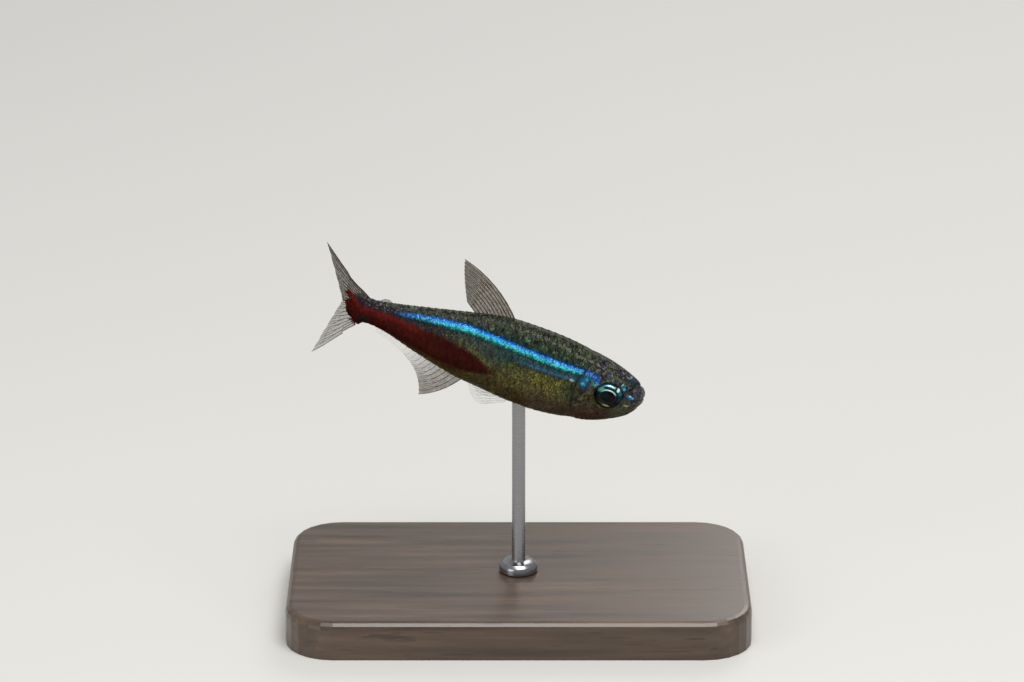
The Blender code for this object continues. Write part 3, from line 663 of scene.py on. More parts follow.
# Painted highlight: the red is lighter under its upper edge towards the tail
red_highlight = f.rises((over, 3.4, 1.2), (over, 0.2, 1.0), (x, 68, 84))
blood = f.bright(blood, f.times(f.rise(chance, 0.0, 1.0, 0.8, 1.2), f.plus(red_highlight, 0.85)))
blood = f.bright(blood, f.rise(under_red, 0.3, 4.0, 0.72, 1.08))
colour = f.mix(redness, colour, blood)
lower_rim = f.times(redness, f.rises((under_red, 1.1, 0.1), (x, 56, 68), (x, 98.5, 96)))
rim_tone = f.blend(x, 74, 86, (0.044, 0.020, 0.006), (0.014, 0.006, 0.002))
colour = f.mix(f.times(lower_rim, 0.8), colour, rim_tone)
dark = f.rises((over, 1.6, -0.4), (over, -3.2, -1.2), (x, 56, 70), (dust, 0.38, 0.54))
colour = f.mix(f.times(dark, 0.85), colour, (0.013, 0.008, 0.019))
spot = f.oval(x, ragged, DARK_SPOT, (2.1, 1.7))
colour = f.mix(f.rise(spot, 1.4, 0.2, 0.0, 0.9), colour, (0.011, 0.008, 0.006))
dots = f.rises((pore, 0.84, 0.94), (x, 80, 88), (x, 100, 97), (height, 0.35, 0.6))
colour = f.mix(f.times(dots, 0.55), colour, (0.200, 0.175, 0.185))

# %% [markdown]
# ## The head
#
# The bare head has no scales to order its colours. Blotches of black, olive, violet and blue-grey lie
# above, with pale specks of painted highlight, the cheeks are yellow-grey, the jowl is brown and the
# snout is glassy. The pale lips are clear, with a painted rim light on them. The socket's rim is dark.
# Each tone is mixed by itself, and soft lines part one from the next.

# %% Crown, cheek, jowl, snout, lips and the eye's rim
crown = f.ramp(fleck, [
    (0.0, (0.006, 0.007, 0.008)), (0.25, (0.030, 0.022, 0.036)), (0.45, (0.020, 0.022, 0.010)),
    (0.62, (0.050, 0.050, 0.020)), (0.8, (0.034, 0.052, 0.056)), (1.0, (0.090, 0.092, 0.074)),
])
crown = f.bright(crown, f.rises((dust, 0.36, 0.60, 0.35, 1.45), (pore, 0.0, 1.0, 0.6, 1.5)))
# Painted highlights: pale specks that glitter on the crown
crown_highlights = f.rises((pore, 0.88, 0.95), (dust, 0.45, 0.6))
crown = f.mix(f.times(crown_highlights, 0.7), crown, (0.200, 0.210, 0.190))
cheek = f.ramp(fleck, [
    (0.0, (0.014, 0.011, 0.006)), (0.4, (0.040, 0.034, 0.013)), (0.7, (0.075, 0.066, 0.025)),
    (1.0, (0.060, 0.052, 0.050)),
])
cheek = f.bright(cheek, f.rises((pore, 0.0, 1.0, 0.5, 1.6), (cloud, 0.38, 0.6, 0.55, 1.15)))
jowl = f.bright(f.blend(cloud, 0.4, 0.6, (0.036, 0.019, 0.012), (0.056, 0.034, 0.020)), speckle)
jaw = f.blend(dust, 0.36, 0.62, (0.030, 0.031, 0.016), (0.088, 0.088, 0.055))
jowl = f.blend(x, 11.5, 7.5, jowl, jaw)
face = f.blend(ragged, 4.0, 6.2, cheek, crown)
jowl_line = f.times(x, -0.30)
face = f.blend(ragged, f.plus(jowl_line, 2.0), f.plus(jowl_line, -0.6), face, jowl)
glassy = f.ramp(fleck, [
    (0.0, (0.008, 0.012, 0.014)), (0.35, (0.028, 0.034, 0.034)), (0.65, (0.022, 0.030, 0.052)),
    (1.0, (0.060, 0.052, 0.066)),
])
glassy = f.bright(glassy, f.rises((dust, 0.36, 0.62, 0.5, 1.6), (pore, 0.0, 1.0, 0.7, 1.4)))
snout_end = f.rises((f.plus(x, f.times(jitter, 3.0)), 8.0, 5.0), (ragged, 0.2, 1.6))
face = f.mix(snout_end, face, glassy)
# The lips: pale where they are clear, with a painted rim light along their edge
lip_with_rim_light = f.rises((f.plus(x, f.times(jitter, 1.5)), 2.4, 0.5), (dust, 0.35, 0.55, 0.5, 1.0))
face = f.mix(f.times(lip_with_rim_light, 0.8), face, (0.170, 0.170, 0.150))
around_eye = f.oval(x, z, (EYE_X, EYE_Z), (EYE_HALF_LENGTH, EYE_HALF_HEIGHT))
orbit = f.rises((f.plus(around_eye, f.times(jitter, 0.8)), 1.75, 1.15), (z, -1.5, 2.0))
orbit_tone = f.blend(pore, 0.3, 0.9, (0.004, 0.008, 0.008), (0.014, 0.032, 0.032))
face = f.mix(f.times(orbit, 0.75), face, orbit_tone)
colour = f.blend(from_gill, GILL_RADIUS + 0.2, GILL_RADIUS - 0.3, colour, face)

# %% [markdown]
# ## The blue stripe
#
# The stripe is a stack of crystals that throws back blue, green-blue at its foot, azure in the middle
# and deep blue on top. It is a darker blue on the gill cover and fades under the adipose fin. Small
# cells that lie just right flash brighter, so a share of them gets painted highlights of lighter blue.
# A dark line across the stripe at the gill cover's free edge is painted shade in the gap under it.

# %% The stripe and its sparks
share = f.calc("DIVIDE", f.less(ragged, stripe_foot), f.less(stripe_top, stripe_foot))
front = f.plus(x, f.times(jitter, 2.0))
stripe = f.rises((share, -0.10, 0.14), (share, 1.12, 0.94), (front, 15.6, 17.2), (x, 89, 80))
glow = f.ramp(share, [
    (0.0, (0.004, 0.040, 0.040)), (0.18, (0.006, 0.095, 0.086)), (0.34, (0.014, 0.280, 0.260)),
    (0.50, (0.030, 0.450, 0.660)), (0.66, (0.024, 0.320, 0.800)), (0.80, (0.012, 0.150, 0.600)),
    (0.92, (0.006, 0.055, 0.300)), (1.0, (0.005, 0.018, 0.080)),
])
rear_glow = f.blend(share, 0.1, 0.6, (0.008, 0.020, 0.045), (0.022, 0.110, 0.420))
glow = f.blend(x, 62, 84, glow, rear_glow)
cover_glow = f.blend(share, 0.15, 0.55, (0.012, 0.120, 0.150), (0.012, 0.060, 0.330))
on_cover = f.rise(from_gill, GILL_RADIUS + 0.4, GILL_RADIUS - 0.6)
glow = f.mix(on_cover, glow, cover_glow)
glow = f.bright(glow, f.rises((chance, 0.0, 0.8, 0.55, 1.15), (dust, 0.35, 0.55, 0.75, 1.15)))
# Painted highlights: sparks of lighter blue on the cells that flash
_, flash = f.grains(place, 0.36)
spark = f.rises((flash, 0.66, 0.86), (share, 0.05, 0.3), (share, 0.96, 0.76), (x, 88, 74, 0.35, 1.0))
spark_tone = f.blend(share, 0.2, 0.42, (0.090, 0.500, 0.330), (0.190, 0.740, 0.900))
spark_tone = f.mix(on_cover, spark_tone, (0.130, 0.370, 0.640))
glow = f.mix(f.times(spark, 0.72), glow, spark_tone)
# Painted shade: a dark line in the gap under the gill cover's free edge
gill_gap_shade = f.rises((from_gill, 16.7, 17.0), (from_gill, 17.9, 17.3))
glow = f.mix(f.times(gill_gap_shade, 0.85), glow, (0.004, 0.020, 0.035))
colour = f.mix(stripe, colour, glow)

# %% [markdown]
# ## Glints on the head
#
# Bare crystal plates on the gill cover, the cheek and the snout catch the light as small irregular
# glints. They are painted reflections, blue, green and white, save the dark blue patches on the gill
# cover and the red, pink and olive flecks, which are the skin's own colour. Each is an oval of its own
# place, size, lean and colour, with its rim broken up by fine noise. A list and a loop keep them
# together, so one can be moved without touching the rest.

# %% The glints
# Place behind the snout, height, half length, half width, lean in degrees and colour of each
GLINTS = [
    (21.2, 3.0, 2.9, 2.3, 40, (0.006, 0.045, 0.090)),
    (21.3, 3.0, 1.6, 1.2, 75, (0.010, 0.110, 0.250)),
    (21.5, 2.6, 0.8, 0.55, 0, (0.080, 0.380, 0.640)),
    (20.6, 4.3, 0.7, 0.6, 0, (0.020, 0.280, 0.330)),
    (23.0, 5.6, 0.7, 0.5, 0, (0.150, 0.330, 0.480)),
    (25.2, 2.4, 0.9, 0.55, 0, (0.240, 0.360, 0.330)),
    (17.8, 3.4, 0.9, 0.7, 20, (0.060, 0.260, 0.220)),
    (8.1, 5.1, 1.2, 0.8, -60, (0.016, 0.120, 0.160)),
    (8.7, 5.7, 0.65, 0.3, -60, (0.280, 0.560, 0.540)),
    (7.6, 4.6, 0.7, 0.5, -60, (0.080, 0.340, 0.520)),
    (4.8, 2.3, 1.7, 0.7, 8, (0.010, 0.110, 0.260)),
    (5.0, 2.7, 0.6, 0.35, 8, (0.420, 0.640, 0.620)),
    (4.0, 2.3, 0.6, 0.35, 0, (0.090, 0.380, 0.600)),
    (5.6, 7.8, 1.5, 0.45, -32, (0.020, 0.042, 0.070)),
    (6.6, 8.2, 0.7, 0.3, -32, (0.160, 0.260, 0.330)),
    (2.0, 2.5, 0.6, 0.35, 10, (0.110, 0.026, 0.014)),
    (4.2, 4.9, 0.9, 0.6, -40, (0.150, 0.090, 0.100)),
    (5.2, -0.8, 1.0, 0.45, 0, (0.200, 0.240, 0.190)),
    (7.8, 0.2, 1.1, 0.8, -50, (0.085, 0.090, 0.028)),
    (14.6, 8.0, 1.0, 0.6, 0, (0.030, 0.034, 0.085)),
    (11.0, 7.2, 1.4, 0.5, 10, (0.070, 0.075, 0.040)),
    (18.4, 9.4, 1.0, 0.35, 20, (0.130, 0.140, 0.120)),
    (21.0, 9.8, 1.2, 0.3, 10, (0.110, 0.120, 0.110)),
]
GLINT_ROUGHNESS = 3.4

# Painted glints: mostly reflections of the crystal plates, with a few flecks of the skin's own colour
off_ridge = f.rise(f.calc("ABSOLUTE", y), 0.3, 1.1)
for glint_x, glint_z, long, wide, lean, shade in GLINTS:
    dx, dz = f.less(x, glint_x), f.less(z, glint_z)
    cosine, sine = math.cos(math.radians(lean)), math.sin(math.radians(lean))
    along = f.times(f.plus(f.times(dx, cosine), f.times(dz, sine)), 1 / long)
    aside = f.times(f.less(f.times(dz, cosine), f.times(dx, sine)), 1 / wide)
    spread = f.plus(f.squares(along, aside), f.times(fine, GLINT_ROUGHNESS))
    colour = f.mix(f.times(f.rise(spread, 1.3, 0.0), off_ridge), colour, shade)

# %% [markdown]
# ## The skin's gloss
#
# Each scale has its own shade and a dark rear edge, which shows less in the red and the stripe. The
# stripe and the gold are partly metallic. Wet skin shines, but softly: a strong gloss would wash out
# the dark colours under the soft boxes. A slight bump lets the grains catch the light.

# %% Scale edges, metal sheen, gloss and bump
edge, tint = f.number("scale_edge"), f.number("scale_tint")
net = f.rises(
    (edge, 0.35, 1.0), (redness, 0.0, 1.0, 0.58, 0.14), (height, -0.2, 0.6, 0.5, 1.0),
    (stripe, 0.0, 1.0, 1.0, 0.4),
)
colour = f.mix(net, colour, (0.004, 0.007, 0.007))
colour = f.bright(colour, f.rise(tint, 0.0, 1.0, 0.86, 1.14))
gold_metal = f.times(gold, f.rise(chance, 0.5, 0.95), 0.45)
wet = f.rises((redness, 0.0, 1.0, 0.075, 0.025), (height, 0.6, 1.0, 1.0, 0.6), (height, -0.3, -0.8, 1.0, 0.5))
relief = f.plus(cell, f.times(cell_wide, 0.6))
skin_finish = f.wear({
    "Base Color": colour,
    "Metallic": f.plus(f.times(stripe, 0.35), gold_metal),
    "Roughness": f.rise(chance_wide, 0.0, 1.0, 0.30, 0.48),
    "Specular IOR Level": wet,
    "Coat Weight": 0.03,
    "Coat Roughness": 0.12,
    "Normal": f.bump(relief, f.rise(height, -0.3, 0.3, 0.12, 0.3), 0.00003),
})
print("skin recipe:", len(f.tree.nodes), "nodes")

# %% [markdown]
# ## The head's relief
#
# A tetra's head is bare of scales. Thin bones show through: the rim round the eye, the plates of the
# cheek, and the gill cover, whose rear edge stands off the shoulder. The mouth is small and turned up.
# Sculpting would do, but here each fold is a soft ridge or groove at a set distance from a line or a
# point, pushed out of or into the oval body.

# %% Folds of the mouth, nostrils, eye rim and gill cover
MOUTH_TIP = (0.0, 2.6)
MOUTH_CORNER = (5.2, -0.6)
NOSTRILS = ((5.6, 4.6), (7.0, 5.1))
EYE_RADIUS = 4.6
COAT_DEPTH = 0.2


def ridge(distance, centre, width):
    """A soft ridge 1 high where the distance is at the centre."""
    return np.exp(-(((distance - centre) / width) ** 2))


def mouth_relief(x, z):
    """Two lips along the mouth's line, and the fold that parts the upper one from the snout."""
    run_x, run_z = MOUTH_CORNER[0] - MOUTH_TIP[0], MOUTH_CORNER[1] - MOUTH_TIP[1]
    length = math.hypot(run_x, run_z)
    along = ((x - MOUTH_TIP[0]) * run_x + (z - MOUTH_TIP[1]) * run_z) / length**2
    off = ((z - MOUTH_TIP[1]) * run_x - (x - MOUTH_TIP[0]) * run_z) / length
    taper = 1 - 0.55 * np.clip(along, 0, 1)
    upper = 0.32 * ridge(off, 1.5, 1.1)
    lower = 0.42 * ridge(off, -1.15, 0.85)
    slit = -0.75 * ridge(off, 0.0, 0.2)
    fold = -0.42 * ridge(off, 4.1, 0.5) * smooth(0.6, 0.1, along)
    chin = -0.16 * ridge(off, -2.6, 0.45)
    return taper * smooth(1.12, 0.88, along) * (upper + lower + slit + chin) + fold


def eye_relief(x, z):
    """The socket behind the eyeball, the soft rim round it and the seams of the cheek plates."""
    around_eye = np.hypot((x - EYE_X) / EYE_HALF_LENGTH, (z - EYE_Z) / EYE_HALF_HEIGHT)
    from_eye = (around_eye - 1) * EYE_RADIUS
    inside = np.clip(1 - (around_eye / 1.02) ** 2, 0, 1)
    socket = -2.3 * np.sqrt(inside)
    rim = 0.24 * ridge(from_eye, 0.45, 0.35) - 0.14 * ridge(from_eye, 1.25, 0.4)
    turn = np.degrees(np.arctan2(z - EYE_Z, x - EYE_X))
    plates = smooth(0.7, 1.6, from_eye) * smooth(4.4, 3.0, from_eye)
    seams = sum(ridge(turn, seam, 4.0) for seam in (35, -15, -62, -112, -150))
    return socket + rim - 0.09 * plates * seams


def gill_relief(x, z):
    """The gill cover with its free rear edge, the bent cheek bone before it, and the throat's folds."""
    from_gill = np.hypot(x - GILL_X, z)
    behind = smooth(GILL_X, GILL_X + 4, x)
    low = smooth(9.0, 5.5, z) * (0.25 + 0.75 * smooth(-11.0, -7.0, z))
    cover = 0.42 * smooth(9.5, 16.4, from_gill) * smooth(GILL_RADIUS + 0.2, GILL_RADIUS - 0.05, from_gill)
    flap = 0.10 * ridge(from_gill, GILL_RADIUS - 0.35, 0.3)
    gap = -0.34 * ridge(from_gill, GILL_RADIUS + 0.4, 0.26)
    bone = np.hypot(x - 8.8, z - 1.4)
    cheek = (0.12 * ridge(bone, 8.5, 0.35) - 0.2 * ridge(bone, 9.15, 0.3)) * smooth(5.5, 3.5, z)
    seam_off = (z + 5.2) * 0.9 + (x - 19.0) * 0.42
    seam = -0.14 * ridge(seam_off, 0.0, 0.28) * smooth(16.8, 18.2, x)
    seam = seam * smooth(GILL_RADIUS + 0.2, 16.6, from_gill)
    throat = 0.10 * ridge(from_gill, 15.2, 0.35) + 0.09 * ridge(from_gill, 13.9, 0.35)
    return behind * (low * (cover + flap + gap) + cheek + seam + smooth(-5.0, -8.5, z) * throat)


def head_relief(x, z):
    """All the head's folds, and the room that the coat of scales needs behind the gill cover."""
    lift = mouth_relief(x, z) + eye_relief(x, z) + gill_relief(x, z)
    for nostril_x, nostril_z in NOSTRILS:
        from_nostril = np.hypot(x - nostril_x, z - nostril_z)
        lift = lift - 0.75 * ridge(from_nostril, 0.0, 0.34) + 0.14 * ridge(from_nostril, 0.72, 0.2)
    from_gill = np.hypot(x - GILL_X, z)
    starts = GILL_RADIUS + 0.5 + 2.2 * smooth(5.5, 8.5, z) + 0.8 * smooth(-7.0, -10.0, z)
    coat = smooth(GILL_RADIUS + 0.1, starts, from_gill) * (x > GILL_X)
    return lift - COAT_DEPTH * coat


# %% [markdown]
# ## One skin over head, trunk and tail
#
# The solids part the body into three nodes. A living fish has no such seams, so one skin takes their
# place. It is a loft: ring after ring round the body, close together on the head where the folds are
# fine, and wider apart behind.

# %% The skin
AROUND = 240
SCALED_BODY_RINGS = 120


def height_share(places):
    """How far up or down the flank a point is: 1 on the back and -1 under the belly."""
    back, belly = body_size(places[:, 0], BACK), body_size(places[:, 0], BELLY)
    return np.where(places[:, 2] > 0, places[:, 2] / back, places[:, 2] / np.maximum(belly, 0.5))


def ring_places():
    """Distances of the rings behind the snout."""
    cap = SNOUT_ROUND * (1 - np.cos(np.linspace(0, math.pi / 2, 20)[1:-1]))
    mouth = np.arange(SNOUT_ROUND, 7.0, 0.085)
    cheeks = np.arange(7.0, 26.0, 0.16)
    flanks = np.linspace(26.0, FLESH_THINS, SCALED_BODY_RINGS)
    root = FLESH_THINS + (FLESH_ENDS - FLESH_THINS) * np.sin(np.linspace(0, 1.5, 26)[1:])
    return np.concatenate([cap, mouth, cheeks, flanks, root])


def make_skin():
    """One loft over the whole body, pushed in and out by the head's folds."""
    rings = ring_places()
    angles = np.linspace(0, 2 * math.pi, AROUND, endpoint=False)
    grid = body_point(rings[:, None], angles[None, :])
    along = np.gradient(grid, axis=0)
    around = (np.roll(grid, -1, axis=1) - np.roll(grid, 1, axis=1)) / 2
    lift = head_relief(grid[..., 0], grid[..., 2])
    shaped = grid + unit(np.cross(along, around)) * lift[..., None]
    tip = shaped[0].mean(axis=0)
    tip[0] = min(tip[0], shaped[0, :, 0].min()) - 0.02
    end = shaped[-1].mean(axis=0)
    end[0] += 0.02
    points = np.concatenate([shaped.reshape(-1, 3), [tip, end]])
    places = np.concatenate([grid.reshape(-1, 3), [tip, end]])
    faces = grid_faces(len(rings), AROUND, closed=True) + fan_faces(len(rings), AROUND)
    make_piece(
        "skin", pose(points), faces, [skin_finish], ("head", "trunk", "tail"), places,
        {"height_share": height_share(places)},
    )


make_skin()

# %% [markdown]
# ## The coat of scales
#
# Behind the head a tetra wears about thirty-four columns of scales. Each is a thin round plate rooted
# in the skin, and its free edge lies over the next. Painted scales would look flat from near by, so
# each one here is a closed little plate. To set them in rows that keep their width towards the tail,
# distances are measured along the skin from the middle of the flank.

# %% Distances round the body
ARC_X = np.arange(14.0, 104.0, 0.5)
ARC_REACH = np.linspace(-45, 45, 721)


def arc_tables():
    """For each section: the angle at each distance round from mid-flank, and the half girths."""
    angles = np.linspace(-math.pi / 2, 1.5 * math.pi, 481)
    points = body_point(ARC_X[:, None], angles[None, :])
    steps = np.linalg.norm(np.diff(points, axis=1), axis=2)
    run = np.concatenate([np.zeros((len(ARC_X), 1)), np.cumsum(steps, axis=1)], axis=1)
    middle = np.searchsorted(angles, math.pi / 2)
    run -= run[:, middle : middle + 1]
    table = np.array([np.interp(ARC_REACH, row, angles) for row in run])
    top = -np.array([np.interp(0.0, angles, row) for row in run])
    foot = np.array([np.interp(math.pi, angles, row) for row in run])
    return table, top, foot


ANGLES, GIRTH_UP, GIRTH_DOWN = arc_tables()


def angle_at(x, arc):
    """The section angle at a distance round the body from mid-flank: up is negative."""
    row = np.clip((x - ARC_X[0]) / (ARC_X[1] - ARC_X[0]), 0, len(ARC_X) - 1.001)
    column = np.clip((arc - ARC_REACH[0]) / (ARC_REACH[1] - ARC_REACH[0]), 0, len(ARC_REACH) - 1.001)
    i, j = row.astype(int), column.astype(int)
    a, b = row - i, column - j
    near = ANGLES[i, j] * (1 - b) + ANGLES[i, j + 1] * b
    far = ANGLES[i + 1, j] * (1 - b) + ANGLES[i + 1, j + 1] * b
    return near * (1 - a) + far * a


print("girth at the shoulder:", round(2 * (GIRTH_UP[32] + GIRTH_DOWN[32]), 1), "%")

# %% [markdown]
# ## Where each scale is rooted
#
# Scales stand in columns, and every second row is set back by half a step, like roof tiles. Rows draw
# together towards the thin stalk. A scale that would cross the back, the belly or the gill cover is
# left out, and a row of its own closes each mid-line where there is room.

# %% Roots in staggered rows
SCALE_STEP_FRONT = 2.45
SCALE_STEP_REAR = 2.1
ROW_HEIGHT = 2.6


def scale_step(x):
    """The distance from one column of scales to the next."""
    return SCALE_STEP_FRONT + (SCALE_STEP_REAR - SCALE_STEP_FRONT) * smooth(30, 95, x)


def row_height(x):
    """The distance between rows, which draw together towards the tail."""
    girth = np.interp(x, ARC_X, GIRTH_UP + GIRTH_DOWN)
    widest = float(np.max(GIRTH_UP + GIRTH_DOWN))
    return ROW_HEIGHT * (girth / widest) ** 0.45


def scale_roots():
    """Roots on the right side and the mid-lines: place behind the snout, and distance round."""
    columns = [16.0]
    while columns[-1] < 99.0:
        columns.append(columns[-1] + float(scale_step(columns[-1])))
    roots = []
    for column in columns:
        for row in range(-16, 17):
            x = column + (0.5 * float(scale_step(column)) if row % 2 else 0.0)
            high = float(row_height(x))
            arc = row * high
            up, down = np.interp(x, ARC_X, GIRTH_UP), np.interp(x, ARC_X, GIRTH_DOWN)
            if not (-up + 0.35 * high < arc < down - 0.35 * high):
                continue
            place = body_point(x, angle_at(np.array(x), np.array(arc)))
            if math.hypot(place[0] - GILL_X, place[2]) > GILL_RADIUS + 0.35:
                roots.append((x, arc, high))
        for reach, girth in ((-1, GIRTH_UP), (1, GIRTH_DOWN)):
            high = float(row_height(column))
            half = float(np.interp(column, ARC_X, girth))
            left_over = (half / high - 0.35) % 1.0 + 0.35
            edge_z = float(body_size(column, BACK if reach < 0 else BELLY))
            if left_over > 0.85 and math.hypot(column - GILL_X, edge_z) > GILL_RADIUS + 0.35:
                roots.append((column, reach * half, high))
    return np.array(roots)


SCALE_ROOTS = scale_roots()
print("scales on the right side and mid-lines:", len(SCALE_ROOTS))

# %% [markdown]
# ## The shape of a scale
#
# From above, a scale has straight sides and a round rear edge. Its root is sunk in the skin and its
# free edge just reaches the outline of the solids. Neighbours lie at different heights, because a
# scale rises steadily from root to edge, so none cuts another.

# %% The plates themselves
SCALE_SPAN = 1.75
SCALES_END = 102.7
SCALE_HALF_WIDTH = 0.85
ROOT_HEIGHT = -0.34
EDGE_HEIGHT = 0.0
SCALE_DOME = 0.03
SCALE_THICKNESS = 0.045
ALONG_SCALE = np.array([0.0, 0.22, 0.45, 0.66, 0.82, 0.93, 1.0])
ACROSS_SCALE = np.radians(np.linspace(-86, 86, 8))
BAKE_PATCH = 0.003


def scale_plates(roots, side, chance):
    """Points, places and attributes of a closed plate at each root, on one side of the fish."""
    p, turn = np.meshgrid(ALONG_SCALE, ACROSS_SCALE, indexing="ij")
    x0, arc0, high = (roots[:, k, None, None] for k in range(3))
    length = SCALE_SPAN * scale_step(x0) * chance.uniform(0.96, 1.04, x0.shape)
    half = SCALE_HALF_WIDTH * high
    reach = length - half * (1 - np.cos(turn))
    forward = p * reach
    x = np.minimum(x0 + forward, SCALES_END)
    arc = arc0 * row_height(x) / high + half * np.sin(turn) * (0.9 + 0.1 * p)
    angle = angle_at(x, arc)
    height = ROOT_HEIGHT + (EDGE_HEIGHT - ROOT_HEIGHT) * forward / length - SCALE_DOME * np.sin(turn) ** 2
    place = body_point(x, angle)
    out = body_normal(x, angle)
    upper = place + out * height[..., None]
    mirror = [1, side, 1]
    points = np.stack([upper, upper - out * SCALE_THICKNESS], axis=1) * mirror
    places = np.stack([place, place], axis=1) * mirror
    rim_share = smooth(0.72, 1.0, forward / (length - half * (1 - np.cos(turn)) * 0.999))
    edge = np.stack([rim_share, rim_share], axis=1).reshape(-1)
    tint = np.repeat(chance.uniform(0, 1, len(roots)), 2 * p.size)
    root_u = roots[:, 0] / 105
    root_v = 0.5 + side * angle_at(roots[:, 0], roots[:, 1]) / (2 * math.pi) * 0.98
    patch_u = root_u[:, None, None] + (p - 0.5) * BAKE_PATCH
    patch_v = root_v[:, None, None] + np.sin(turn) / 2 * BAKE_PATCH
    patch = np.stack([patch_u, patch_v], axis=-1)
    patch = np.stack([patch, patch], axis=1).reshape(-1, 2)
    return points.reshape(-1, 3), places.reshape(-1, 3), edge, tint, patch


def bake_map(piece, patch):
    """Writes the map that says where each plate's colours are kept."""
    layer = piece.data.uv_layers.new(name="OFBake")
    corner = np.empty(len(piece.data.loops), np.int32)
    piece.data.loops.foreach_get("vertex_index", corner)
    layer.data.foreach_set("uv", patch[corner].astype(np.float32).ravel())


def make_coat(name, low, high):
    """All scales rooted between two places behind the snout, on both sides."""
    chosen = SCALE_ROOTS[(SCALE_ROOTS[:, 0] >= low) & (SCALE_ROOTS[:, 0] < high)]
    up = np.interp(chosen[:, 0], ARC_X, GIRTH_UP)
    down = np.interp(chosen[:, 0], ARC_X, GIRTH_DOWN)
    on_midline = (np.abs(chosen[:, 1] + up) < 0.01) | (np.abs(chosen[:, 1] - down) < 0.01)
    chance = np.random.default_rng(7)
    sides = [scale_plates(chosen, 1, chance), scale_plates(chosen[~on_midline], -1, chance)]
    points, places, edge, tint, patch = (np.concatenate(both) for both in zip(*sides))
    rows, columns = len(ALONG_SCALE), len(ACROSS_SCALE)
    starts = np.arange(0, len(points), 2 * rows * columns)
    faces = (np.array(sheet_faces(rows, columns))[None] + starts[:, None, None]).reshape(-1, 4)
    extras = {"height_share": height_share(places), "scale_edge": edge, "scale_tint": tint}
    piece = make_piece(name, pose(points), faces, [skin_finish], (), places, extras)
    bake_map(piece, patch)
    piece.data.calc_loop_triangles()
    print(name, len(starts), "scales,", len(piece.data.loop_triangles), "triangles")


make_coat("scales_front", 0, 58)
make_coat("scales_rear", 58, 110)

# %% [markdown]
# ## The eye's colours
#
# The pupil is a dark, nearly round lens. Round it the iris is metal-bright, above all over its upper
# half, where a crescent of crystals shines: its own blue-green with painted highlights in white and pale
# cyan. A pale arc just over the pupil is a painted reflection on the cornea. A teal flare and a white
# spot are painted highlights, and a ruddy glint deep in the lens is a painted reflection. The recipe
# works in the eye's own measure: across and up from its middle, each 1 at the rim. So both eyes take
# the same finish.

# %% The eye's recipe
PUPIL_MIDDLE, PUPIL_HALVES = (-0.02, 0.02), (0.52, 0.46)
# Place across and up, half length, half height and colour of each spot on the eye
EYE_SPOTS = [
    # Painted highlight: a teal flare on the rear of the iris
    (-0.70, 0.46, 0.30, 0.24, (0.055, 0.220, 0.200)),
    (0.80, 0.12, 0.14, 0.34, (0.003, 0.016, 0.050)),
    (0.74, 0.50, 0.15, 0.18, (0.006, 0.110, 0.130)),
    # Painted highlight: a white spot
    (0.53, 0.70, 0.11, 0.15, (0.560, 0.720, 0.700)),
    (-0.25, -0.64, 0.22, 0.09, (0.040, 0.042, 0.014)),
    (0.08, -0.72, 0.26, 0.08, (0.330, 0.370, 0.220)),
    # Painted reflection: a ruddy glint deep in the lens
    (0.28, -0.04, 0.14, 0.13, (0.020, 0.002, 0.002)),
    (-0.24, 0.12, 0.34, 0.24, (0.001, 0.008, 0.010)),
]


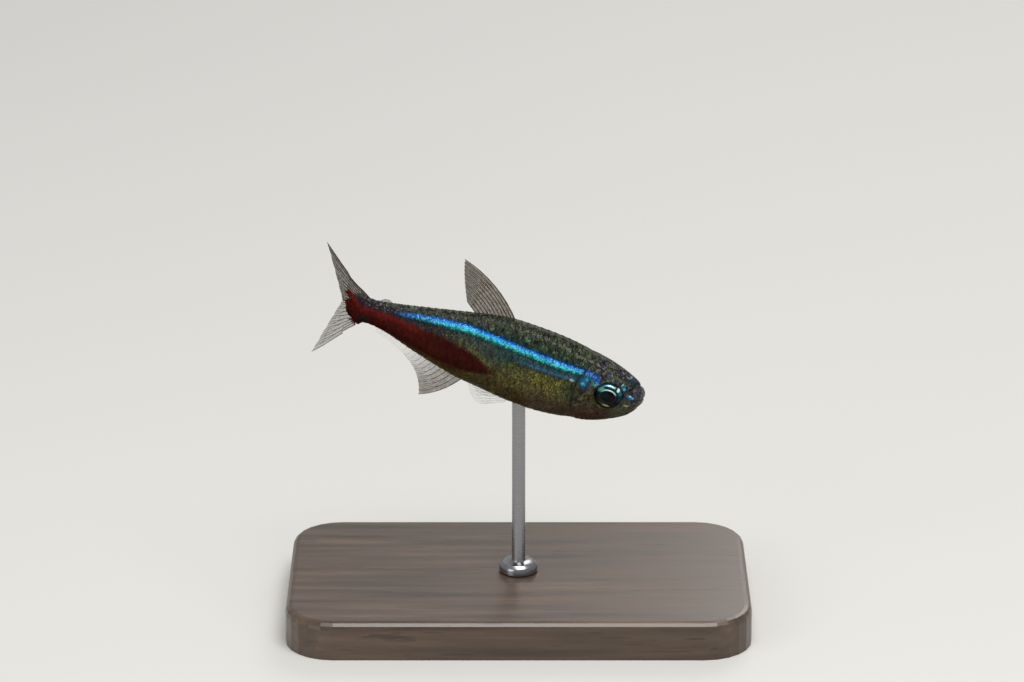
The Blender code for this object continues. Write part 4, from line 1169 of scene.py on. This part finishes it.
def paint_eye():
    f = Finish("tetra_eye")
    place, across, _, up = f.place("eye_place")
    far = f.calc("SQRT", f.squares(across, up))
    dust = f.less(f.noise(place, 0.09, 2.0, 0.6), 0.5)
    wave = f.less(f.noise(place, 0.35, 2.0, 0.5), 0.5)
    ragged = f.plus(far, f.times(dust, 0.05))

    # The pupil is an oval close to the middle, and out says how far from it a point lies
    out = f.calc("SQRT", f.oval(across, up, PUPIL_MIDDLE, PUPIL_HALVES))

    # Where the iris lies round the eye is told by turn: 0 in front, a half on top and 1 behind
    turn = f.calc("DIVIDE", f.calc("ARCTAN2", up, across), math.pi)
    high = f.rises((turn, 0.06, 0.20), (turn, 0.99, 0.84))
    iris = f.mix(high, (0.002, 0.004, 0.007), (0.002, 0.020, 0.024))
    below = f.rises((up, -0.20, -0.60), (wave, -0.12, 0.12, 0.4, 1.0))
    iris = f.mix(below, iris, (0.013, 0.014, 0.005))

    # The bright crescent, the iris's own blue-green with a painted highlight, comes nearest the pupil
    # straight above it
    middle = f.rise(f.calc("ABSOLUTE", f.less(turn, 0.48)), 0.0, 0.42, 0.83, 0.94)
    off = f.calc("ABSOLUTE", f.less(ragged, middle))
    crescent = f.rises((off, 0.085, 0.035), (turn, 0.36, 0.43), (turn, 0.97, 0.86))
    glow = f.ramp(turn, [
        (0.42, (0.480, 0.700, 0.760)), (0.53, (0.440, 0.680, 0.780)), (0.61, (0.060, 0.340, 0.520)),
        (0.72, (0.070, 0.360, 0.440)), (0.80, (0.130, 0.400, 0.380)), (0.92, (0.050, 0.220, 0.200)),
    ])
    iris = f.mix(crescent, iris, f.bright(glow, f.rise(wave, -0.15, 0.15, 0.7, 1.2)))
    # A pale arc just over the pupil: a painted reflection on the cornea
    cornea_reflection = f.rises((out, 1.0, 1.05), (out, 1.26, 1.15), (turn, 0.16, 0.25), (turn, 0.92, 0.78))
    iris = f.mix(cornea_reflection, iris, f.blend(wave, -0.1, 0.1, (0.300, 0.470, 0.360), (0.520, 0.660, 0.520)))
    ring = f.rises((out, 1.0, 1.03), (out, 1.12, 1.06))
    iris = f.mix(f.times(ring, 0.3), iris, (0.050, 0.070, 0.066))
    pupil = f.blend(up, -0.5, 0.1, (0.002, 0.004, 0.001), (0.0006, 0.0012, 0.0024))
    colour = f.blend(out, 1.02, 0.98, iris, pupil)
    for spot_x, spot_z, wide, tall, shade in EYE_SPOTS:
        spread = f.plus(f.oval(across, up, (spot_x, spot_z), (wide, tall)), f.times(dust, 2.0))
        colour = f.blend(spread, 1.7, 0.0, colour, shade)
    return f.wear({
        "Base Color": colour,
        "Metallic": f.times(crescent, 0.4),
        "Roughness": f.rise(out, 0.95, 1.1, 0.10, 0.30),
        "Specular IOR Level": 0.04,
        "Coat Weight": 0.11,
        "Coat IOR": 1.33,
        "Coat Roughness": 0.02,
    })


eye_finish = paint_eye()
print("eye recipe:", len(eye_finish.node_tree.nodes), "nodes")

# %% [markdown]
# ## The eyeballs
#
# A tetra's eye is a flattened ball with a clear bulging front, set in the side of the head. Blender's
# own sphere could be squashed, but here each eye is turned like a bowl on a lathe: rings round one
# axis, close together where the iris shows.

# %% Turning both eyes
EYE_HALF_THICKNESS = 2.4
EYE_CENTRE_Y = 4.6
LENS_BULGE = 0.10


def make_eye(name, side, node):
    """A flattened ball with its axis out of the head. Its rings crowd towards the seen face."""
    lean = np.radians(np.concatenate([np.linspace(0, 90, 46)[1:], np.linspace(90, 180, 14)[1:-1]]))
    turns = np.linspace(0, 2 * math.pi, 96, endpoint=False)
    far, out = (np.tile(part[:, None], len(turns)) for part in (np.sin(lean), np.cos(lean)))
    lens = LENS_BULGE * smooth(0.62, 0.0, far) * (out > 0)
    grid = np.stack([-far * np.cos(turns), out, far * np.sin(turns)], axis=-1)
    ball = np.concatenate([grid.reshape(-1, 3), [[0, 1, 0], [0, -1, 0]]])
    bulge = np.concatenate([lens.ravel(), [LENS_BULGE, 0.0]])
    straight = np.stack([
        EYE_X + ball[:, 0] * EYE_HALF_LENGTH,
        side * (EYE_CENTRE_Y + ball[:, 1] * EYE_HALF_THICKNESS + bulge),
        EYE_Z + ball[:, 2] * EYE_HALF_HEIGHT,
    ], axis=1)
    faces = grid_faces(len(lean), len(turns), closed=True) + fan_faces(len(lean), len(turns))
    extras = {"eye_place": ball * [-1, 1, 1]}
    make_piece(name, pose(straight), faces, [eye_finish], (node,), None, extras)


make_eye("eyeball_right", 1, "eye_right")
make_eye("eyeball_left", -1, "eye_left")

# %% [markdown]
# ## The fins' finishes
#
# A fin is a clear film stretched over fine rays. The film is nearly invisible, so its finish lets most
# light through. The rays are horn-like and brownish, and dark dust lines them. Two finishes on one
# piece let the film stay clear while the rays show.

# %% Film and ray recipes
RAY_JOINTS = 170.0


def paint_film(name, pale, brown, film):
    """Clear film, with red and dark pigment where its points say so. film is how much it shows."""
    f = Finish(name)
    redness, darkness = f.number("fin_red"), f.number("fin_dark")
    cloud = f.noise(f.place()[0], 1.6, 3.0, 0.6)
    colour = f.blend(cloud, 0.35, 0.65, brown, pale)
    dusk = f.blend(cloud, 0.4, 0.6, (0.022, 0.022, 0.016), (0.075, 0.066, 0.052))
    blood = f.blend(cloud, 0.4, 0.6, (0.050, 0.003, 0.002), (0.095, 0.008, 0.004))
    colour = f.mix(redness, f.mix(darkness, colour, dusk), blood)
    show = f.times(f.number("fin_show"), f.rise(cloud, 0.3, 0.7, 0.8 * film, 1.2 * film))
    marked = f.calc("MAXIMUM", f.times(redness, 0.95), f.times(darkness, 0.85))
    return f.wear({
        "Base Color": colour,
        "Roughness": 0.3,
        "Specular IOR Level": 0.15,
        "Alpha": f.calc("MAXIMUM", show, marked),
    })


def paint_rays(name, dark, light, show):
    """Jointed rays, red where their points say so. show is how much of them can be seen."""
    f = Finish(name)
    redness = f.number("fin_red")
    reach = f.place("fin_lie")[2]
    dust = f.noise(f.place()[0], 0.5, 2.0, 0.6)
    joints = f.rise(f.calc("SINE", f.times(reach, RAY_JOINTS)), 0.2, 0.9)
    colour = f.blend(dust, 0.35, 0.65, dark, light)
    colour = f.mix(f.times(joints, 0.2), colour, dark)
    shown = f.times(f.number("fin_show"), show)
    return f.wear({
        "Base Color": f.mix(redness, colour, (0.085, 0.006, 0.004)),
        "Roughness": 0.35,
        "Specular IOR Level": 0.15,
        "Alpha": f.calc("MAXIMUM", shown, f.times(redness, 0.9)),
    })


film_finish = paint_film("fin_film", (0.125, 0.096, 0.055), (0.062, 0.046, 0.025), 0.55)
ray_finish = paint_rays("fin_rays", (0.022, 0.016, 0.010), (0.10, 0.075, 0.045), 0.85)
clear_film = paint_film("clear_film", (0.130, 0.110, 0.080), (0.085, 0.070, 0.048), 0.045)
clear_rays = paint_rays("clear_rays", (0.045, 0.035, 0.022), (0.100, 0.080, 0.055), 0.20)

# %% [markdown]
# ## Film and rays as meshes
#
# Each fin is drawn by two lines: where its rays are rooted, and where they end. A ray splits in two
# past its middle, and again near its tip, and each strand is a thin tube. The film hangs between the
# rays, pleated a little, and is scalloped at its edge. A plane with an image could pass from afar,
# but real rays hold up from near by.

# %% The film and the rays
RAY_RADIUS = 0.19
FIRST_RAY = 1.35
FORK_WIDTH, TWIG_WIDTH = 0.22, 0.11
FILM_THICKNESS = 0.07
FILM_SCALLOP = 0.015
FILM_PLEAT = 0.10
FILM_ROWS = 36
FILM_BETWEEN = 6


def film_mesh(sheet, rays, normal, thickness):
    """Two faces of film between the first ray and the last, closed round the rim."""
    gaps = rays - 1
    share = np.linspace(0, 1, gaps * FILM_BETWEEN + 1)
    sag = np.sin(math.pi * ((share * gaps) % 1.0))
    turn = np.where((share * gaps).astype(int) % 2, 1.0, -1.0)
    t = np.linspace(0, 1, FILM_ROWS)[:, None]
    reach = t * (1 - FILM_SCALLOP * sag**2 * smooth(0.6, 1.0, t))
    shares = np.broadcast_to(share, reach.shape)
    pleat = FILM_PLEAT * sag * turn * smooth(0.0, 0.4, t)
    middle = sheet(shares, reach) + normal * pleat[..., None]
    half = normal * (thickness * (1 - 0.6 * t) / 2)[..., None]
    points = np.concatenate([(middle + half).reshape(-1, 3), (middle - half).reshape(-1, 3)])
    lie = np.stack([shares, reach, np.zeros_like(reach)], axis=-1).reshape(-1, 3)
    return points, sheet_faces(FILM_ROWS, len(share)), np.concatenate([lie, lie])


def tube(line, radius, sides=6):
    """A closed tapered tube round a line of points."""
    run = unit(np.gradient(line, axis=0))
    aside = unit(np.cross(run, [0.13, 0.4, 0.9]))
    other = np.cross(run, aside)
    turns = np.linspace(0, 2 * math.pi, sides, endpoint=False)[None, :, None]
    around = aside[:, None] * np.cos(turns) + other[:, None] * np.sin(turns)
    points = line[:, None] + around * radius[:, None, None]
    faces = grid_faces(len(line), sides, closed=True) + flat_ends(len(line), sides)
    return points.reshape(-1, 3), faces


def ray_strands(branches):
    """A ray's strands: the span of each, which way it forks twice, and how thick its ends are."""
    if not branches:
        return [((0.0, 1.0), 0, 0, (1.0, 0.35))]
    strands = [((0.0, 0.50), 0, 0, (1.0, 0.75))]
    for side in (-1, 1):
        strands.append(((0.46, 0.78), side, 0, (0.62, 0.5)))
        strands += [((0.74, 1.0), side, twig, (0.42, 0.2)) for twig in (-1, 1)]
    return strands


def ray_mesh(sheet, rays, branches, radius):
    """Tubes along every ray, and where each of their points lies on the fin."""
    spacing = 1 / (rays - 1)
    points, faces, lie, start = [], [], [], 0
    for k in range(rays):
        for (low, high), side, twig, (thick, thin) in ray_strands(branches and k > 0):
            t = np.linspace(low, high, max(6, int(FILM_ROWS * (high - low))))
            share = k * spacing + side * FORK_WIDTH * spacing * smooth(0.44, 0.70, t)
            share = np.clip(share + twig * TWIG_WIDTH * spacing * smooth(0.72, 0.95, t), 0, 1)
            swell = 1 + 0.07 * np.cos(t * RAY_JOINTS)
            size = radius * np.linspace(thick, thin, len(t)) * swell * (FIRST_RAY if k == 0 else 1.0)
            strand, strand_faces = tube(sheet(share, t), size)
            points.append(strand)
            faces += [[v + start for v in face] for face in strand_faces]
            line_lie = np.stack([share, t, np.ones_like(t)], axis=1)
            lie.append(np.repeat(line_lie, len(strand) // len(t), axis=0))
            start += len(strand)
    return np.concatenate(points), faces, np.concatenate(lie)


# %% [markdown]
# ## One maker for all fins
#
# The fins differ in their lines, in how clear they are and in their pigment, and in little else. So
# one function makes them all. It joins the film and the rays in one piece with a finish for each.

# %% The fin maker
def make_fin(name, node, rays, root, tip, normal=(0.0, 1.0, 0.0), bow=(0.0, 0.0, 0.0), lead=None,
             branches=True, radius=RAY_RADIUS, thickness=FILM_THICKNESS, clear=False, show=1.0,
             fade=0.0, red=None, dark=None):
    """One fin of film and rays. root and tip give points at a share from the first ray to the last.

    The first ray arches by bow at its middle, or follows the line lead. show is how much of the fin can
    be seen, and fade how much of that is lost towards its last ray. red and dark give the amount
    of those pigments from places and from shares and reaches.
    """
    first_root, first_tip = root(np.array(0.0)), tip(np.array(0.0))

    def sheet(share, t):
        start, end = root(share), tip(share)
        arch = (4 * t * (1 - t))[..., None] * np.array(bow, float)
        if lead:
            arch = lead(t) - first_root - (first_tip - first_root) * t[..., None]
        return start + (end - start) * t[..., None] + arch * (1 - share)[..., None]

    film, film_faces, film_lie = film_mesh(sheet, rays, np.array(normal, float), thickness)
    strands, strand_faces, strand_lie = ray_mesh(sheet, rays, branches, radius)
    places = np.concatenate([film, strands])
    lie = np.concatenate([film_lie, strand_lie])
    faces = film_faces + [[v + len(film) for v in face] for face in strand_faces]
    kinds = [0] * len(film_faces) + [1] * len(strand_faces)
    extras = {
        "fin_lie": lie,
        "fin_red": red(places) if red else np.zeros(len(places)),
        "fin_dark": dark(lie[:, 0], lie[:, 1]) if dark else np.zeros(len(places)),
        "fin_show": show * (1 - fade * smooth(0.0, 0.75, lie[:, 0])),
    }
    finishes = [clear_film, clear_rays] if clear else [film_finish, ray_finish]
    make_piece(name, pose(places), faces, finishes, (node,), places, extras, kinds)


def control_curve(points, share):
    """A Bezier curve in x and z with three control points."""
    (x0, z0), (x1, z1), (x2, z2) = points
    a, b, c = (1 - share) ** 2, 2 * share * (1 - share), share**2
    return np.stack([a * x0 + b * x1 + c * x2, np.zeros_like(share), a * z0 + b * z1 + c * z2], axis=-1)


# %% [markdown]
# ## The dorsal fin
#
# It stands over the middle of the back, tall and narrow, and is half folded as the fish glides. Its
# eleven rays lean back and their tips draw a slanting edge.

# %% The dorsal fin
DORSAL_FRONT, DORSAL_REAR = 48.3, 60.6
DORSAL_EDGE = ((71.3, 27.0), (69.9, 21.6), (65.6, 13.6))
ROOT_SUNK = 0.9


def dorsal_root(share):
    x = DORSAL_FRONT + (DORSAL_REAR - DORSAL_FRONT) * share
    return np.stack([x, 0 * x, body_size(x, BACK) - ROOT_SUNK], axis=-1)


make_fin(
    "dorsal_film_and_rays", "dorsal_fin", 11, dorsal_root, lambda s: control_curve(DORSAL_EDGE, s),
    bow=(-0.9, 0.0, 1.9),
)

# %% [markdown]
# ## The anal fin
#
# It runs under the tail from mid-body to the stalk. Its first rays make a short lobe, and the rest
# shorten quickly.

# %% The anal fin
ANAL_FRONT, ANAL_REAR = 58.0, 89.5
ANAL_LONG, ANAL_SHORT, ANAL_TAPER = 14.3, 0.9, 2.5
ANAL_SLOPES = (math.radians(36.6), math.radians(24))


def anal_root(share):
    x = ANAL_FRONT + (ANAL_REAR - ANAL_FRONT) * share
    return np.stack([x, 0 * x, -body_size(x, BELLY) + ROOT_SUNK * 0.6], axis=-1)


def anal_tip(share):
    length = ANAL_SHORT + (ANAL_LONG - ANAL_SHORT) * (1 - share) ** ANAL_TAPER
    slope = ANAL_SLOPES[0] + (ANAL_SLOPES[1] - ANAL_SLOPES[0]) * share
    x = ANAL_FRONT + (ANAL_REAR - ANAL_FRONT) * share
    z = -body_size(x, BELLY) - 1.2
    return np.stack([x + length * np.cos(slope), 0 * x, z - length * np.sin(slope)], axis=-1)


make_fin(
    "anal_film_and_rays", "anal_fin", 18, anal_root, anal_tip, bow=(-0.5, 0.0, -1.2), radius=0.13,
    show=0.85, fade=0.93,
)

# %% [markdown]
# ## The adipose fin
#
# Tetras have a tiny fleshy fin before the tail. It has no rays, only a thicker film with a few folds.

# %% The adipose fin
ADIPOSE_FRONT, ADIPOSE_LENGTH, ADIPOSE_HEIGHT = 87.3, 4.4, 0.85


def adipose_root(share):
    x = ADIPOSE_FRONT + ADIPOSE_LENGTH * 0.7 * share
    return np.stack([x, 0 * x, body_size(x, BACK) - 0.6], axis=-1)


def adipose_tip(share):
    swell = np.sin(math.pi * (0.2 + 0.75 * share))
    x = ADIPOSE_FRONT + ADIPOSE_LENGTH * (0.35 + 0.75 * share)
    z = body_size(x, BACK) + 0.1 + ADIPOSE_HEIGHT * swell
    return np.stack([x, 0 * x, z], axis=-1)


make_fin(
    "adipose_film", "adipose_fin", 5, adipose_root, adipose_tip, branches=False, radius=0.07, thickness=0.3,
    show=0.6, dark=lambda share, reach: smooth(0.80, 0.95, reach),
)

# %% [markdown]
# ## The tail fin
#
# Two pointed lobes grow from the end of the flesh. Their outer rays are the longest and the inner ones
# the shortest, which makes the fork. Short rays climb from the stalk to each lobe, so its leading edge
# is a curve through points that were read off the photo, from the stalk outwards. The red of the tail
# runs out on the root in streaks.

# %% The tail fin
TAIL_ROOT = 98.5
TAIL_LOBE = 30.0
TAIL_SPREAD = math.radians(25)
TAIL_START = 99.7
TAIL_FORK = (107.4, 0.9)
TAIL_WAISTS = {1: (116.9, 9.4), -1: (116.9, -7.6)}
TAIL_LEADS = {
    1: [(95.6, 4.0), (97.4, 5.1), (99.1, 5.8), (100.6, 6.4), (101.8, 7.2), (102.9, 8.1), (104.8, 9.2),
        (107.6, 10.4), (113.4, 12.5), (120.3, 15.1)],
    -1: [(97.0, -5.9), (98.4, -7.5), (100.0, -8.9), (102.5, -9.5), (104.7, -9.9), (108.0, -11.1),
         (112.8, -12.8), (119.1, -15.1)],
}
TAIL_RED_REAR = [
    (-6.0, 96.7), (-4.7, 99.1), (-2.7, 101.5), (-0.7, 103.6), (0.4, 104.6), (1.6, 103.6), (4.2, 105.4),
]
TAIL_RED_TOP = [(98.0, 1.8), (100.6, 3.0), (102.7, 4.8), (105.0, 5.4)]
TAIL_DUSK = {1: 0.85, -1: 0.0}
TAIL_SHOWS = {1: 1.0, -1: 0.55}


def tail_red(places):
    """The red that runs out on the root of the tail fin, in streaks along its rays."""
    x, z = places[:, 0], places[:, 2]
    streak = 0.9 * np.sin(z * 2.1) + 0.6 * np.sin(z * 5.3 + 1.0)
    rear = streak + np.interp(z, *zip(*TAIL_RED_REAR))
    top = np.interp(x, *zip(*TAIL_RED_TOP))
    return smooth(rear + 1.2, rear - 1.0, x) * smooth(top + 1.3, top - 0.9, z)


def make_tail_lobe(name, node, side):
    """One lobe: side is 1 for the upper one and -1 for the lower."""
    tip_z = side * (float(body_size(TAIL_ROOT, BACK)) + TAIL_LOBE * math.sin(TAIL_SPREAD))
    edge = ((TAIL_START + TAIL_LOBE * math.cos(TAIL_SPREAD), tip_z), TAIL_WAISTS[side], TAIL_FORK)
    lead_x, lead_z = (np.array(v) for v in zip(*TAIL_LEADS[side], edge[0]))

    def lead(t):
        x = lead_x[0] + (lead_x[-1] - lead_x[0]) * t
        return np.stack([x, 0 * x, curve_through(lead_x, lead_z, x)], axis=-1)

    def root(share):
        x = TAIL_ROOT + (lead_x[0] - TAIL_ROOT) * (1 - share) ** 2
        z = lead_z[0] * (1 - share) + TAIL_FORK[1] * share
        return np.stack([x, 0 * share, z], axis=-1)

    def tip(share):
        return control_curve(edge, 1 - (1 - share) ** 1.25)

    def dark(share, reach):
        return TAIL_DUSK[side] * smooth(0.30 - 0.12 * reach, 0.06, share)

    make_fin(
        name, node, 10, root, tip, lead=lead, radius=0.17, show=TAIL_SHOWS[side], red=tail_red, dark=dark,
    )


make_tail_lobe("tail_lobe_upper", "tail_fin_upper", 1)
make_tail_lobe("tail_lobe_lower", "tail_fin_lower", -1)

# %% [markdown]
# ## The paired fins
#
# The pectoral fins grow behind the gill covers and the pelvic fins under the belly. They are small
# clear fans, held back along the body while the fish glides.

# %% The pectoral and pelvic fins
PECTORAL = {"x": 26.8, "angle": 117, "base": 3.4, "length": 17.0, "rays": 10, "fan": 28, "out": 22, "down": 2}
PELVIC = {"x": 43.6, "angle": 156, "base": 2.6, "length": 13.0, "rays": 7, "fan": 26, "out": 13, "down": 8}
PAIRED_SUNK = 1.2


def make_paired_fin(name, node, fin, side):
    """A clear fan that is seated on one flank and held back along the body."""
    out, down, fan = (math.radians(fin[key]) for key in ("out", "down", "fan"))
    seat = body_point(fin["x"], side * math.radians(fin["angle"]))
    run = np.array([math.cos(out) * math.cos(down), side * math.sin(out), -math.cos(out) * math.sin(down)])
    width = np.array([math.sin(down), 0.0, math.cos(down)])
    normal = unit(np.cross(run, width))
    seat = seat - run * PAIRED_SUNK

    def root(share):
        return seat + width * (fin["base"] * (0.5 - share))[..., None]

    def tip(share):
        turn = fan * (0.5 - share)
        reach = fin["length"] * (1 - 0.45 * share**1.6) + PAIRED_SUNK
        way = run * np.cos(turn)[..., None] + width * np.sin(turn)[..., None]
        return root(share) + way * reach[..., None]

    make_fin(
        name, node, fin["rays"], root, tip, normal=normal, radius=0.10, thickness=0.05, clear=True,
    )


for kind, fin in (("pectoral", PECTORAL), ("pelvic", PELVIC)):
    for side, flank_name in ((1, "right"), (-1, "left")):
        make_paired_fin(kind + "_film_" + flank_name, kind + "_fin_" + flank_name, fin, side)

# %% [markdown]
# ## Brushed steel
#
# Brushing leaves fine scratches round a rod. A metal's colour comes from what it mirrors, so a plain
# grey metal would do, but noise drawn out across the scratches makes its gloss uneven, as the real
# one's is.

# %% The steel's recipe
def paint_steel():
    f = Finish("brushed_steel")
    place = f.stretch(f.node("TexCoord").outputs["Object"], (300.0, 300.0, 9000.0))
    lines = f.noise(place, 1.0, 3.0, 0.6)
    return f.wear({
        "Base Color": f.mix(lines, (0.20, 0.20, 0.21), (0.36, 0.36, 0.37)),
        "Roughness": f.rise(lines, 0.2, 0.8, 0.16, 0.32),
        "Metallic": 1.0,
    })


steel_finish = paint_steel()
print("steel recipe:", len(steel_finish.node_tree.nodes), "nodes")

# %% [markdown]
# ## The display rod
#
# A museum pins so light a model on a thin steel rod with a turned collar. The profile is spun round
# the upright axis, as a lathe would. The rod runs up into the belly and the collar sits on the base.

# %% The rod and its collar
ROD_RADIUS = 0.00055
COLLAR_RADIUS = 0.0016
COLLAR_HEIGHT = 0.0009
COLLAR_EASE = 0.00012
BASE_HEIGHT = 0.0032
ROD_SUNK = 0.0006
BELLY_UNDER_ROD = float(pose([[ROD_X, 0.0, -float(body_size(ROD_X, BELLY))]])[0][2])


def make_rod():
    """A profile of radius and height, rounded at its edges, spun round the upright axis."""
    collar_top = BASE_HEIGHT + COLLAR_HEIGHT
    profile = [
        (COLLAR_RADIUS - COLLAR_EASE, BASE_HEIGHT), (COLLAR_RADIUS, BASE_HEIGHT + COLLAR_EASE),
        (COLLAR_RADIUS, collar_top - 0.0004), (COLLAR_RADIUS - 0.00008, collar_top - 0.0002),
        (COLLAR_RADIUS * 0.8, collar_top), (ROD_RADIUS + 0.00018, collar_top),
        (ROD_RADIUS + 0.00005, collar_top + 0.00006), (ROD_RADIUS, collar_top + 0.0002),
        (ROD_RADIUS, BELLY_UNDER_ROD + ROD_SUNK),
    ]
    turns = np.linspace(0, 2 * math.pi, 64, endpoint=False)
    radius, height = (np.array(v)[:, None] for v in zip(*profile))
    grid = np.stack([radius * np.cos(turns), radius * np.sin(turns), height + 0 * turns], axis=-1)
    faces = grid_faces(len(profile), len(turns), closed=True) + flat_ends(len(profile), len(turns))
    piece = make_piece("rod_and_collar", grid, faces, [steel_finish], ("stand_rod",))
    piece.data.set_sharp_from_angle(angle=math.radians(35))


make_rod()

# %% [markdown]
# ## The wooden base
#
# The base is a block of dark stained wood with rounded corners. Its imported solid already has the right
# shape, so it stays and only gets a finish. Wood grain is noise stretched along the board.

# %% Dark stained wood
def paint_wood():
    f = Finish("stained_wood")
    place = f.stretch(f.node("TexCoord").outputs["Object"], (60.0, 900.0, 900.0))
    fibres = f.noise(place, 1.0, 5.0, 0.6)
    pores = f.noise(place, 0.25, 2.0, 0.5)
    colour = f.ramp(fibres, [
        (0.3, (0.030, 0.018, 0.011)), (0.55, (0.070, 0.042, 0.025)), (0.75, (0.115, 0.072, 0.044)),
    ])
    return f.wear({
        "Base Color": f.mix(f.rise(pores, 0.62, 0.72, 0.0, 0.7), colour, (0.015, 0.009, 0.006)),
        "Roughness": f.rise(fibres, 0.2, 0.8, 0.32, 0.48),
        "Coat Weight": 0.3,
        "Coat Roughness": 0.2,
        "Normal": f.bump(fibres, 0.3, 0.00004),
    })


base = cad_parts["stand_base"]
base.data.materials.clear()
base.data.materials.append(paint_wood())
print("base finished")

# %% [markdown]
# ## The floor
#
# The light in the photo is brown and dim. A model is shown on a pale floor, which lets its outline and
# its clear fins be seen. A curved backdrop would do as well, but one large disc is enough here. A
# faint cloudiness keeps it from looking like blank paper.

# %% The pale floor
FLOOR_RADIUS = 3.0
FLOOR_DROP = 0.00002


def make_floor():
    f = Finish("pale_floor")
    cloud = f.noise(f.node("TexCoord").outputs["Object"], 0.2, 2.0, 0.5)
    finish = f.wear({"Base Color": f.mix(cloud, (0.52, 0.51, 0.49), (0.56, 0.55, 0.53)), "Roughness": 0.8})
    mesh = bpy.data.meshes.new("floor")
    turns = np.linspace(0, 2 * math.pi, 48, endpoint=False)
    ring = [(FLOOR_RADIUS * math.cos(t), FLOOR_RADIUS * math.sin(t), -FLOOR_DROP) for t in turns]
    mesh.from_pydata(ring, [], [list(range(len(ring)))])
    mesh.materials.append(finish)
    floor = bpy.data.objects.new("floor", mesh)
    bpy.context.scene.collection.objects.link(floor)


make_floor()
print("floor laid")

# %% [markdown]
# ## The lights
#
# One large soft box above does most of the work, since light came from above in the photo too. Two
# weaker ones soften the shadows, and a dim even sky fills the rest. Small bright lamps would put hard
# white spots on the wet skin.

# %% The soft boxes and the sky
LIGHT_AIM = Vector((0.0, 0.0, 0.022))


def soft_box(name, place, size, power, colour):
    """A square lamp that faces the fish."""
    lamp = bpy.data.lights.new(name, "AREA")
    lamp.size = size
    lamp.energy = power
    lamp.color = colour
    box = bpy.data.objects.new(name, lamp)
    box.location = place
    aim = LIGHT_AIM - Vector(place)
    box.rotation_mode = "QUATERNION"
    box.rotation_quaternion = aim.to_track_quat("-Z", "Y")
    bpy.context.scene.collection.objects.link(box)


soft_box("key_light", (0.06, -0.16, 0.42), 0.30, 2.2, (1.0, 0.99, 0.96))
soft_box("fill_light", (-0.40, -0.35, 0.20), 0.30, 0.7, (0.95, 0.98, 1.0))
soft_box("back_light", (0.15, 0.40, 0.30), 0.25, 0.7, (1.0, 0.98, 0.95))
world = bpy.data.worlds.new("studio")
world.use_nodes = True
world.node_tree.nodes["Background"].inputs["Color"].default_value = (0.90, 0.92, 0.95, 1.0)
world.node_tree.nodes["Background"].inputs["Strength"].default_value = 0.45
bpy.context.scene.world = world
bpy.context.scene.view_settings.view_transform = "Standard"
print("lights:", len(bpy.data.lights))
